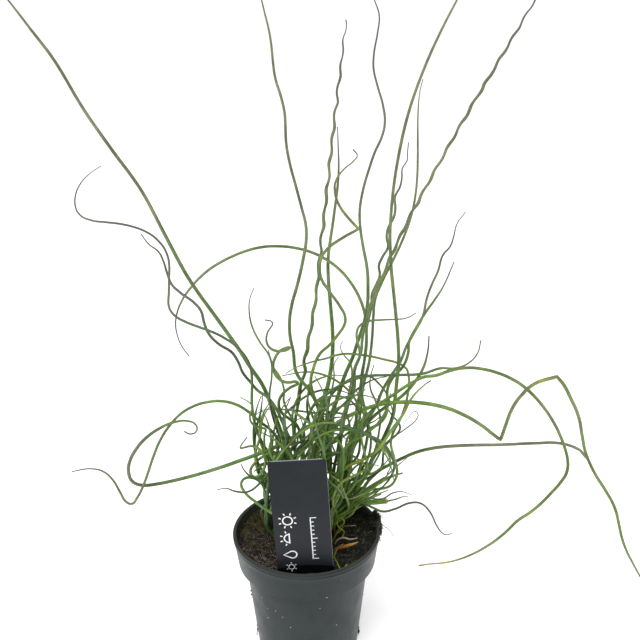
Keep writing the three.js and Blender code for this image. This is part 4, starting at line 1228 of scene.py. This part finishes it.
rush, tree, shader, spot = new_material("rush_stem", 0.4, 0.3)
share, dryness, tone = growth_of(tree)
green = tree.blend(tone, GREEN_BLUE, GREEN_YELLOW)
x, y, z = tree.apart(spot)
# Painted shade: low down the stems darken towards a deep green, a little everywhere and more on the left.
foot_shade = tree.stretch(z, 0.1, 0.13, 0.05, 0.0)
dim_side = tree.stretch(x, 0.0, -0.025, 0.0, 0.5)
dim_side = tree.times(tree.stretch(z, 0.1, 0.15, 1.0, 0.0), dim_side)
green = tree.blend(tree.maths("MAXIMUM", foot_shade, dim_side), green, GREEN_SHADE)
# Painted light: low down on the right, the stems are brightened towards a lighter green.
lit_side = tree.times(tree.stretch(x, 0.01, 0.04), tree.stretch(tone, 0.1, 0.4))
lit_side = tree.times(tree.stretch(z, 0.12, 0.18, 0.55, 0.0), lit_side)
green = tree.blend(lit_side, green, GREEN_LIT)
flat = tree.maths("MULTIPLY_ADD", x, x, tree.times(y, y))
far_out = tree.stretch(tree.maths("SQRT", flat), 0.06, 0.15, 0.0, 0.88)
far_out = tree.times(far_out, tree.stretch(tone, 0.7, 1.0, 1.0, 0.6))
bleached = tree.maths("MAXIMUM", tree.stretch(z, 0.17, 0.44, 0.0, 0.85), far_out)
green = tree.blend(bleached, green, OLIVE)
bent = tree.attribute("kink")
patch = effect(tree, mottle, Place=spot, Size=0.03, Low=-0.6, High=0.45)
patchy = tree.times(patch, tree.stretch(tone, 0.55, 1.0), clamp=True)
green = tree.blend(patchy, green, YELLOWED)
creased = tree.times(tree.maths("POWER", bent, 2.0), 0.5)
green = tree.blend(creased, green, CREASE)
# Painted shade: random patches along the stems are darkened, standing for stems that shade one another.
shade_patches = effect(tree, mottle, Place=spot, Size=0.022, Low=-0.7, High=1.3)
green = tree.blend(shade_patches, green, tree.blend(1.0, green, SHADY, "MULTIPLY"))
green = ribbed(tree, shader, green, Round=7.0, Along=60.0, Low=0.75, High=1.25, Strength=0.2)
dried = tree.blend(tree.stretch(tone, 1.08, 1.12), DUSKY, tree.blend(dryness, YELLOWED, ORANGE))
green = tree.blend(tree.stretch(dryness, 0.0, 0.75), green, dried)
tip = tree.blend(tree.stretch(dryness, 0.0, 0.3), CUT_PALE, TIP_DARK)
green = tree.blend(tree.stretch(share, 0.985, 1.0), green, tip)
# Painted shade: each stem darkens towards its outline, where its surface turns away from the camera.
facing = tree.add("ShaderNodeLayerWeight", Blend=0.4).outputs["Facing"]
turned = tree.stretch(facing, 0.25, 0.95)
green = tree.blend(turned, green, tree.blend(1.0, green, EDGE_SHADE, "MULTIPLY"))
tree.give(shader.inputs["Base Color"], green)
print("stem finish with", len(rush.node_tree.nodes), "nodes")

# %% Grow the stems
STEM_SIDES = 10
STEM_STEP = 2 * MM
for name in tuft_names:
    step = STEM_STEP * 1
    piece = tubes_along(stems[name], name.replace("tuft", "stems"), rush, STEM_SIDES, step)
    settle(piece, "rush_stems", name)

# %% [markdown]
# ## Crowns and sheaths
#
# A rush has no leaves on its stems. Each stem instead comes out of a short brown sheath, and the
# stems of a tuft rise from a knotty crown. The sheath follows the first stretch of its stem, a
# little wider than it, and ends by closing on it.

# %% Sheath finish
SHEATH_DARK = (0.045, 0.024, 0.012)
SHEATH_STRAW = (0.15, 0.115, 0.05)
SHEATH_STEP = 2.5
SHEATH_LENGTH = (10, 13)
SHEATH_WIDTH = (1.14, 0.12)
SHEATH_AGE = (0.35, 1.0)

husk, tree, shader, _ = new_material("sheath_husk", 0.6, 0.3)
share = growth_of(tree)[0]
aged = tree.blend(tree.stretch(share, *SHEATH_AGE), SHEATH_DARK, SHEATH_STRAW)
tree.give(shader.inputs["Base Color"], ribbed(tree, shader, aged, Low=0.55, Strength=0.5))
print("sheath finish ready")


# %% Sheaths
def first_stretch(line, length):
    """The start of a line, up to a length, at short even steps."""
    start = [line[0]]
    run = 0.0
    for (a, ra), (b, rb) in zip(line, line[1:]):
        piece = (b - a).length
        steps = max(1, int(piece / (SHEATH_STEP * MM)))
        for k in range(1, steps + 1):
            if run + piece * k / steps > length:
                return start
            start.append((a.lerp(b, k / steps), ra + (rb - ra) * k / steps))
        run += piece
    return start


sheaths = []
for name in tuft_names:
    for stem in stems[name]:
        line = first_stretch(stem.line, between(*SHEATH_LENGTH) * MM)
        last = len(line) - 1
        wide = between(*SHEATH_WIDTH)
        fitted = [(p, r * (wide + (1.0 - wide) * (k / last) ** 3)) for k, (p, r) in enumerate(line)]
        sheaths.append(Path(fitted))
settle(tubes_along(sheaths, "stem_sheaths", husk, 9, 1.6 * MM), "rush_stems")

# %% Crowns
CROWN_RADIUS = 5.4
CROWN_RISE = 2.6
CROWN_SUNK = 1.4
CROWN_RINGS = 7
CROWN_SIDES = 22
CROWN_LUMPS = 0.3
LUMP_SCALE = 1.9
BARK_DARK = (0.018, 0.012, 0.007)
BARK_PALE = (0.075, 0.046, 0.022)


def crown_of(name):
    """The middle of a tuft's feet."""
    feet = [stem.line[0][0] for stem in stems[name]]
    return sum(feet, Vector()) / len(feet)


def knotty_dome(shape, middle, seed):
    """A low lumpy dome that stands a little out of the soil."""
    rows = []
    for ring in range(CROWN_RINGS + 1):
        lift = math.pi / 2 * ring / CROWN_RINGS
        row = []
        for side in range(CROWN_SIDES if ring < CROWN_RINGS else 1):
            x, y = on_circle(math.cos(lift), TURN * side / CROWN_SIDES)
            spot = Vector((x, y, math.sin(lift)))
            swell = 1 + CROWN_LUMPS * noise.noise(spot * LUMP_SCALE + Vector((seed, 0, 0)))
            x, y = spot.x * CROWN_RADIUS * swell, spot.y * CROWN_RADIUS * swell
            z = SOIL_Z - CROWN_SUNK + spot.z * (CROWN_RISE + CROWN_SUNK) * swell
            row.append(shape.verts.new(Vector((middle.x + x * MM, middle.y + y * MM, z * MM))))
        rows.append(row)
    bridge(shape, rows, CROWN_SIDES)
    shape.faces.new(rows[0][::-1])


shape = bmesh.new()
for number, name in enumerate(tuft_names):
    knotty_dome(shape, crown_of(name), number)
bark, tree, shader, spot = two_tone("crown_bark", 0.8, 0.2, 0.002, BARK_DARK, BARK_PALE)
tree.give(shader.inputs["Normal"], effect(tree, grain, Place=spot, Size=0.0008, Depth=0.0005))
settle(object_from("crowns", shape, bark), "rush_stems")

# %% [markdown]
# ## A low sheaf and a few arches
#
# On the right of the label a bright sheaf of young stems leans low over the soil. They use the
# same walk, from a crown up, with a wide bow. Six more stems are given point by point: the
# three arches that close the front of the clump, and three that lean out to the right.

# %% Low sheaf
ARCHES = [
    # thickness, tone, and points in mm from the crown up
    (1.2, 0.95, [(-17, -14, 97), (-20, -17, 120), (-24, -21, 150), (-24.9, -24, 174.8), (-18.3, -27, 190.3),
                 (-10.4, -29, 201.5), (-1.3, -30, 211.9), (8.3, -30, 217.6), (19.3, -30, 219.1),
                 (30.3, -29, 216), (40, -27, 210.6)]),
    (0.8, 0.75, [(-2, -12, 97), (-6, -14, 130), (-9, -17, 155), (-8.2, -20, 177.4), (1.3, -24, 195.1),
                 (11.9, -27, 206.8), (25.2, -29, 212.7), (37.7, -29, 212.6), (48.9, -28, 206.1),
                 (58.1, -26, 194.7), (64.6, -24, 180.6), (68.1, -22, 165.4)]),
    (0.7, 0.3, [(4, 0, 97), (3, 1, 140), (-1, 2, 175), (0.3, 2, 201.7), (5.1, 0, 214.7),
                (12.9, -3, 224.6), (23.5, -5, 228.8), (33.4, -6, 226.7), (39.5, -6, 219.9),
                (43.5, -4, 208.6), (45.2, -2, 196.3)]),
    (0.9, 0.6, [(11, 12, 97), (19, 11, 105), (28.5, 12, 114.4), (37.6, 15, 126.8), (47.6, 18, 141),
                (56.6, 20, 156.6), (62.9, 20, 171.4), (66.4, 18, 187)]),
    (0.4, 0.8, [(11, 11, 97), (20, 7, 111), (31.6, 6, 124.2), (45.6, 10, 130.9), (60.3, 12, 142.7),
                (73, 12, 156.5), (81.4, 10, 165.9)]),
    (0.6, 0.7, [(18, 1, 97), (21, 0, 114), (25.7, 0, 129.1), (35.4, 0, 143), (45, 2, 152.7),
                (57.8, 4, 158.7), (68.7, 4, 172.2)]),
]
SHEAF = 27
SHEAF_CROWNS = ((2, -2, 0), (18.5, 27, 200))
LOWEST_TIP = 116
FOOT_OUT = 3.4
BASE_OVER_SOIL = 5
BEARING = (-6, 36)
LEAN = (42, 24)
YOUNG_LENGTH = (36, 36)
YOUNG_BOW = (170, 200)
YOUNG_THICK = (0.5, 1.0)
YOUNG_TONE = (0.82, 0.18)
YOUNG_DRY = (2, 4)
draw = random.Random(27)


def young_stem(crown):
    """A stem that leans out low from a crown, or None if it meets something."""
    bearing = math.radians(draw.uniform(*BEARING))
    lean = math.radians(between(*LEAN))
    side = Vector((*on_circle(1, bearing), 0))
    foot = crown + side * FOOT_OUT * MM
    rise = side * math.sin(lean) + Vector((0, 0, math.cos(lean)))
    base = Vector((foot.x, foot.y, (SOIL_Z + BASE_OVER_SOIL) * MM))
    more = walk(base, rise, between(*YOUNG_LENGTH), between(*YOUNG_BOW))
    if more is None or more[-1].z < LOWEST_TIP * MM:
        return None
    line = with_radii([foot, base, *more], between(*YOUNG_THICK) * MM)
    return Path(line, between(*YOUNG_TONE), between(*YOUNG_DRY) * MM)


right_crowns = [crown_of(name) for name in tuft_names if inside(crown_of(name), SHEAF_CROWNS)]
young = []
for number in range(SHEAF):
    tries = (young_stem(right_crowns[number % len(right_crowns)]) for _ in range(TRIES))
    young += [stem for stem in tries if stem][:1]
for thickness, tone, spots in ARCHES:
    young.append(Path(with_radii([place(*spot) for spot in spots], thickness * MM), tone))
print("young stems:", len(young))
settle(tubes_along(young, "young_stems", rush, 8, 2.2 * MM), "rush_stems")

# %% [markdown]
# ## Dry leaves, straws and roots
#
# The small dead bits on the soil are tubes too, but tapered. The sheath and the
# straw at the right of the label stand for their solids, and a few more scraps lie near them.

# %% Dry finishes
DRY_LOOKS = [
    # name, colours of the foot and the tip, roughness
    ("rusty_sheath", (0.22, 0.07, 0.015), (0.6, 0.36, 0.06), 0.6),
    ("pale_straw", (0.42, 0.3, 0.18), (0.66, 0.54, 0.36), 0.6),
    ("young_sprout", (0.14, 0.22, 0.02), (0.3, 0.36, 0.03), 0.45),
    ("root_hair", (0.17, 0.115, 0.09), (0.46, 0.36, 0.32), 0.6),
]
TIP_RANGE = (0.45, 0.95)


def dry_finish(name, foot, tip, roughness):
    """A dry plant finish that changes from the foot to the tip."""
    material, tree, shader, _ = new_material(name, roughness, 0.3)
    share = growth_of(tree)[0]
    base = tree.blend(tree.stretch(share, *TIP_RANGE), foot, tip)
    tree.give(shader.inputs["Base Color"], ribbed(tree, shader, base, Round=5.0, Along=120.0))
    return material


rust, straw, sprout, root = (dry_finish(*look) for look in DRY_LOOKS)
print("dry finishes:", len(DRY_LOOKS))

# %% Dry pieces
SHEATH_LEAF = [
    (22.6, -18, 94, 1.5),
    (22.9, -18.4, 99, 1.5),
    (28.5, -22, 104.5, 1.45),
    (35, -20.8, 105.8, 1.2),
    (41.2, -18.4, 106.6, 0.35),
]
STRAW_LEAF = [
    (23.5, -8.8, 94, 0.7),
    (23.4, -9, 99.5, 0.75),
    (29.5, -10.6, 105.2, 0.8),
    (35, -12.4, 105, 0.6),
    (41, -12.4, 106.2, 0.25),
]
TWIG = [(29.5, 11.2, 99.4), (33, 12.4, 100.6), (37, 11.9, 100.9), (41, 13.2, 100.4)]
SPROUTS = [
    [(21.4, -24, 97), (22.5, -31, 100.4), (24.4, -38, 101.2), (26.4, -43.6, 99.6)],
    [(21.8, -25, 97), (23.8, -22.5, 101.6), (26.8, -18.6, 103.2), (29.4, -16.4, 103.6)],
    [(21.5, 8, 98), (24.5, 13, 103.5), (28.5, 18.2, 104), (30, 12, 102.6), (28.6, 5.2, 102.2),
     (23, -1.4, 101)],
    [(30.5, -46.0, 97), (29.8, -44.6, 101.2), (30.6, -43.2, 103.4), (31.8, -42.6, 104.2)],
    [(20.5, -7, 98), (27.1, -8, 113.7), (30.3, -9, 119.4), (27.9, -8, 122.2), (24.7, -7, 119.4),
     (26.3, -9, 113.7), (30.3, -9, 109.9), (28.7, -9, 105.1)],
]
STRANDS = [
    [(19.9, -12, 128.8), (21.5, -12, 138), (24.7, -12, 145.3), (27, -12, 150.7), (28.6, -12, 154.3),
     (20.1, -12, 164.3)],
    [(20, -8, 140.9), (26.3, -8, 143.6), (33.5, -8, 139.9), (39.8, -8, 141.6), (45.3, -8, 144.3)],
    [(28.5, -13, 155.6), (26.2, -14, 153.8), (27.8, -14, 150.2), (30.1, -13, 152.9)],
]
RIM_ROOT = [(58.5, 10, 107.4), (62.9, 5.3, 105.6), (67.3, -0.3, 105.2), (70.7, -8.6, 104.4)]


def tapered(points, radius, tip=0.35):
    """A path whose radius falls from its foot to its tip, all in millimetres."""
    last = len(points) - 1
    return Path([(place(*p), radius * MM * (1 - (1 - tip) * k / last)) for k, p in enumerate(points)])


def given(points):
    """A path from (x, y, z, radius) in millimetres."""
    return Path([(place(x, y, z), radius * MM) for x, y, z, radius in points])


settle(tubes_along([given(SHEATH_LEAF)], "rusty_leaf", rust, 12, 1 * MM), "dry_sheath", "dry_sheath")
settle(tubes_along([given(STRAW_LEAF)], "straw_leaf", straw, 10, 1 * MM), "dry_straw", "dry_straw")
settle(tubes_along([tapered(path, 0.75) for path in SPROUTS], "sprouts", sprout, 8, 1.2 * MM), "rush_stems")
strands = [tapered(path, 0.27, 0.7) for path in STRANDS] + [tapered(TWIG, 0.55, 0.6)]
settle(tubes_along(strands, "strands", straw, 7, 1.5 * MM), "dry_straw")

# %% [markdown]
# Fine roots and fibres lie all over the soil. Each is a short random walk close to the surface,
# so it rises and dips with the lumps. More of them show on the dry side at the left, and short
# hairs stand out of the heap on the rim.

# %% Fibres
FIBRES = 520
FIBRES_FEWER_FROM = 12
FIBRES_KEPT_OUT = 0.8
FIBRE_STEP = 1.9
FIBRE_TURN = 0.6
FIBRE_LIFT = (0.3, 1.3)
FIBRE_RADIUS = (0.07, 0.11)
FIBRE_EDGE = 1.5
FIBRE_START_EDGE = 2.5
HEAP_HAIRS = 34
HAIR_RADIUS = 0.09
HAIR_OUT = 59.5
HAIR_SPAN = (-4, 22)
HAIR_HEIGHT = 107
draw = random.Random(33)


def fibre_line():
    """A thin fibre that wanders over the soil."""
    radius = (SOIL_RADIUS - FIBRE_START_EDGE) * math.sqrt(draw.random())
    x, y = on_circle(radius, draw.random() * TURN)
    if x > FIBRES_FEWER_FROM and draw.random() < FIBRES_KEPT_OUT:
        return []
    heading = draw.random() * TURN
    lift = between(*FIBRE_LIFT)
    path = []
    steps = draw.randint(4, 9)
    for k in range(steps):
        height = soil_height(x, y) + lift * math.sin(math.pi * (k + 0.3) / steps)
        path.append((place(x, y, height), between(*FIBRE_RADIUS) * MM))
        heading += draw.gauss(0, FIBRE_TURN)
        x, y = x + FIBRE_STEP * math.cos(heading), y + FIBRE_STEP * math.sin(heading)
        if math.hypot(x, y) > SOIL_RADIUS - FIBRE_EDGE:
            break
    return path


def heap_hair():
    """A short hair that stands out of the heap on the rim."""
    foot = Vector((draw.gauss(HAIR_OUT, 1), draw.uniform(*HAIR_SPAN), draw.gauss(HAIR_HEIGHT, 1.2)))
    way = Vector((0.6 + draw.random(), draw.gauss(0, 0.6), draw.gauss(0.3, 0.7)))
    bend = Vector((draw.gauss(0, 0.7), draw.gauss(0, 0.7), draw.gauss(-0.3, 0.5)))
    return [(place(*(foot + way * k + bend * k * k / 3)), HAIR_RADIUS * MM) for k in range(4)]


fibres = [Path(line) for line in (fibre_line() for _ in range(FIBRES)) if len(line) > 2]
fibres += [Path(heap_hair()) for _ in range(HEAP_HAIRS)]
fibres.append(tapered(RIM_ROOT, 0.42, 0.5))
settle(tubes_along(fibres, "soil_fibres", root, 4, 1.3 * MM), "potting_soil")

# %% [markdown]
# ## Moss
#
# A little moss grows mostly at the back left, where the soil stays wet. Each shoot is a narrow
# cone with three sides, and about two thousand of them in loose cushions read as moss at this
# size.

# %% Moss
MOSS_CUSHIONS = [
    # x, y and reach in mm, shoots
    (-45, 24, 9, 620),
    (-37, 36, 8, 480),
    (-51, 9, 6, 260),
    (-36, 12, 8, 260),
    (-30, 43, 6, 160),
    (-45, -8, 6, 160),
    (-30, -12, 6, 70),
    (38, 34, 5, 110),
]
SHOOT_HEIGHT = (1.2, 2.2)
SHOOT_LEAN = 0.9
SHOOT_RADIUS = 0.42
SHOOT_SUNK = 0.3
CUSHION_SPREAD = 2.2
MOSS_DARK = (0.03, 0.034, 0.012)
MOSS_PALE = (0.17, 0.165, 0.065)
draw = random.Random(41)


def moss_shoot(shape, x, y):
    """A narrow three-sided cone."""
    height = between(*SHOOT_HEIGHT)
    foot = place(x, y, soil_height(x, y) - SHOOT_SUNK)
    tip = foot + place(draw.gauss(0, SHOOT_LEAN), draw.gauss(0, SHOOT_LEAN), height)
    turn = draw.random() * TURN
    around = [on_circle(SHOOT_RADIUS, turn + TURN * side / 3) for side in range(3)]
    ring = [shape.verts.new(foot + place(*spot, 0)) for spot in around]
    bridge(shape, [ring, [shape.verts.new(tip)]], 3)
    shape.faces.new(ring[::-1])


shape = bmesh.new()
for x, y, reach, shoots in MOSS_CUSHIONS:
    for _ in range(shoots):
        at = [middle + draw.gauss(0, reach / CUSHION_SPREAD) for middle in (x, y)]
        if math.hypot(*at) < SOIL_RADIUS - 1:
            moss_shoot(shape, *at)
moss = two_tone("moss", 0.8, 0.2, 0.004, MOSS_DARK, MOSS_PALE)[0]
settle(object_from("moss", shape, moss, smooth=False), "potting_soil")

# %% [markdown]
# ## The label
#
# The plant label is a plastic card on a pointed stake that leans back a little. Its outline is
# drawn flat, with round top corners, given its thickness and fine bevels, and then stood up in
# place. The card keeps its own coordinates in its UV map, so that the dark band at its foot
# follows the card.

# %% Label card
LABEL_HEIGHT = 102
LABEL_STAKE = 34
LABEL_TIP = 5
LABEL_THICK = 0.8
LABEL_CORNER = 4
CORNER_STEPS = 8
CARD_BEVEL = 0.12
LABEL_SHOULDER = -6
LABEL_FOOT = place(0, LABEL_Y, SOIL_Z)
LABEL_LEAN = math.radians(2.9)
LABEL_TILT = math.radians(2.2)
stand = (
    Matrix.Translation(LABEL_FOOT)
    @ Matrix.Rotation(LABEL_TILT, 4, "X")
    @ Matrix.Rotation(-LABEL_LEAN, 4, "Y")
    @ Matrix.Rotation(math.pi / 2, 4, "X")
)


def card_outline():
    """The label's outline, in millimetres, from the stake's tip round to it again."""
    half = LABEL_WIDTH / 2
    line = [(-LABEL_TIP / 2, -LABEL_STAKE), (LABEL_TIP / 2, -LABEL_STAKE), (half, LABEL_SHOULDER)]
    for side, start in ((1, 0), (-1, math.pi / 2)):
        x, y = side * (half - LABEL_CORNER), LABEL_HEIGHT - LABEL_CORNER
        for step in range(CORNER_STEPS + 1):
            out, up = on_circle(LABEL_CORNER, start + math.pi / 2 * step / CORNER_STEPS)
            line.append((x + out, y + up))
    return [*line, (-half, LABEL_SHOULDER)]


shape = bmesh.new()
corners = [shape.verts.new(place(x, y, -LABEL_THICK / 2)) for x, y in card_outline()]
shape.faces.new(corners[::-1])
made = bmesh.ops.extrude_face_region(shape, geom=shape.faces[:])["geom"]
for corner in corners_in(made):
    corner.co.z += LABEL_THICK * MM
bmesh.ops.recalc_face_normals(shape, faces=shape.faces)
edges = {"geom": shape.edges[:], "affect": "EDGES"}
bmesh.ops.bevel(shape, offset=CARD_BEVEL * MM, segments=2, clamp_overlap=True, **edges)
layer = shape.loops.layers.uv.new("UVMap")
for face in shape.faces:
    for loop in face.loops:
        loop[layer].uv = (loop.vert.co.x / MM / LABEL_WIDTH + 0.5, loop.vert.co.y / MM / LABEL_HEIGHT)
shape.transform(stand)
label = object_from("label_card", shape, smooth=False)
print("label card", LABEL_WIDTH, "by", LABEL_HEIGHT, "mm above the soil")

# %% Label finish
SLATE = (0.0085, 0.0115, 0.0135)
SLATE_PALE = (0.02, 0.0225, 0.028)
CARD_EDGE = (0.3, 0.32, 0.36)
FOOT_BAND = (0.002, 0.003, 0.005)
BAND_TOP = 0.083
BAND_BOW = 0.022

card, tree, shader, spot = new_material("label_plastic", 0.45, 0.2)
u, v, _ = tree.apart(tree.out("ShaderNodeUVMap", {"uv_map": "UVMap"}))
off_middle = tree.times(tree.maths("SUBTRACT", u, 0.5), 2.0)
bow = tree.times(tree.times(off_middle, off_middle), BAND_BOW)
above_band = tree.maths("ADD", v, tree.maths("SUBTRACT", bow, BAND_TOP))
on_card = tree.stretch(above_band, -0.003, 0.003)
face = tree.blend(tree.stretch(v, 0.05, 0.9), SLATE_PALE, SLATE)
face = tree.blend(effect(tree, mottle, Place=spot, Size=0.02, Low=0.0, High=0.35), face, SLATE_PALE)
# A thin pale line runs along the top and the right edge of the card.
pale_edge_line = tree.maths("MAXIMUM", tree.stretch(v, 0.9955, 0.999), tree.stretch(u, 0.993, 0.998))
face = tree.blend(pale_edge_line, face, CARD_EDGE)
tree.give(shader.inputs["Base Color"], tree.blend(on_card, FOOT_BAND, face))
tree.give(shader.inputs["Normal"], effect(tree, grain, Place=spot, Size=0.0012, Depth=0.00002))
label.data.materials.append(card)
settle(label, "label_card", "label")

# %% [markdown]
# ### Plain marks on the label
#
# A plant label needs some print to look like one. Here it carries only generic care marks, read
# along its length as on such a card: three suns, a drop and a small height scale. Each is a flat
# white shape that stands a twentieth of a millimetre proud of the card.

# %% Label marks
INK_RAISE = 0.05
INK_THICK = 0.06
INK_WHITE = (0.88, 0.88, 0.88)
INK_WORN = (0.78, 0.79, 0.8)
RAY = (1.45, 1.95)
STROKE = 1.0
FINE_STROKE = 0.8
DROP_OPEN = 0.33
DROP_POINT = 2.1


def ink_strip(shape, line, width, closed=False):
    """A flat ribbon of even width along card points, in millimetres."""
    count = len(line)
    sides = []
    for k, (x, y) in enumerate(line):
        if closed:
            a, b = line[k - 1], line[(k + 1) % count]
        else:
            a, b = line[max(k - 1, 0)], line[min(k + 1, count - 1)]
        across = Vector((a[1] - b[1], b[0] - a[0])).normalized() * width / 2
        sides.append((Vector((x, y)) + across, Vector((x, y)) - across))
    levels = (LABEL_THICK / 2 + INK_RAISE - INK_THICK, LABEL_THICK / 2 + INK_RAISE)
    rows = [[shape.verts.new(place(p.x, p.y, z)) for z in levels for p in pair] for pair in sides]
    spans = list(zip(rows, rows[1:])) + ([(rows[-1], rows[0])] if closed else [])
    for a, b in spans:
        for i, j in ((0, 1), (1, 3), (3, 2), (2, 0)):
            shape.faces.new((a[i], a[j], b[j], b[i]))
    if not closed:
        shape.faces.new([rows[0][i] for i in (0, 2, 3, 1)])
        shape.faces.new([rows[-1][i] for i in (0, 1, 3, 2)])


def point_off(middle, radius, angle):
    """The point at this distance and angle from a middle."""
    out, up = on_circle(radius, angle)
    return middle[0] + out, middle[1] + up


def arc(middle, radius, start, end, steps=28):
    """Points on an arc, angles in turns."""
    angles = [TURN * (start + (end - start) * k / steps) for k in range(steps + 1)]
    return [point_off(middle, radius, angle) for angle in angles]


def sun(shape, middle, radius, rays, start=0.0, end=1.0, width=STROKE):
    """A circle, or a part of one, with rays round it."""
    whole = end - start == 1.0
    rim = arc(middle, radius, start, end)
    ink_strip(shape, rim[:-1] if whole else rim, width, closed=whole)
    for k in range(rays):
        angle = TURN * (start + (end - start) * (k + 0.5) / rays)
        ink_strip(shape, [point_off(middle, reach * radius, angle) for reach in RAY], width)


def drop(shape, middle, radius, width=STROKE):
    """A drop that points towards -x, drawn as an arc closed by a point."""
    bowl = arc(middle, radius, -DROP_OPEN, DROP_OPEN)
    ink_strip(shape, [*bowl, (middle[0] - DROP_POINT * radius, middle[1])], width, closed=True)


MARK_X = -10.5
SCALE_X = 6.5
SCALE_FOOT = 14.4
SCALE_STEP = 3.72
SCALE_MARKS = 11
SCALE_STROKE = 0.7
LONG_MARK = 4.4
SHORT_MARK = 2.4
shape = bmesh.new()
sun(shape, (MARK_X, 50), 3.6, 8)
sun(shape, (MARK_X, 34), 3.6, 4, start=0.25, end=0.75)
ink_strip(shape, [(MARK_X + 0.3, 29.4), (MARK_X + 0.3, 38.6)], STROKE)
drop(shape, (MARK_X + 1.6, 19), 3.2)
sun(shape, (MARK_X, 7.5), 2.2, 6, width=FINE_STROKE)
ink_strip(shape, [(SCALE_X, 14), (SCALE_X, 52)], FINE_STROKE)
for k in range(SCALE_MARKS):
    reach = LONG_MARK if k % 5 == 0 else SHORT_MARK
    at = SCALE_FOOT + SCALE_STEP * k
    ink_strip(shape, [(SCALE_X, at), (SCALE_X + reach, at)], SCALE_STROKE)
bmesh.ops.recalc_face_normals(shape, faces=shape.faces)
shape.transform(stand)
ink = two_tone("white_ink", 0.45, 0.5, 0.003, INK_WORN, INK_WHITE)[0]
settle(object_from("label_marks", shape, ink, smooth=False), "label_card")
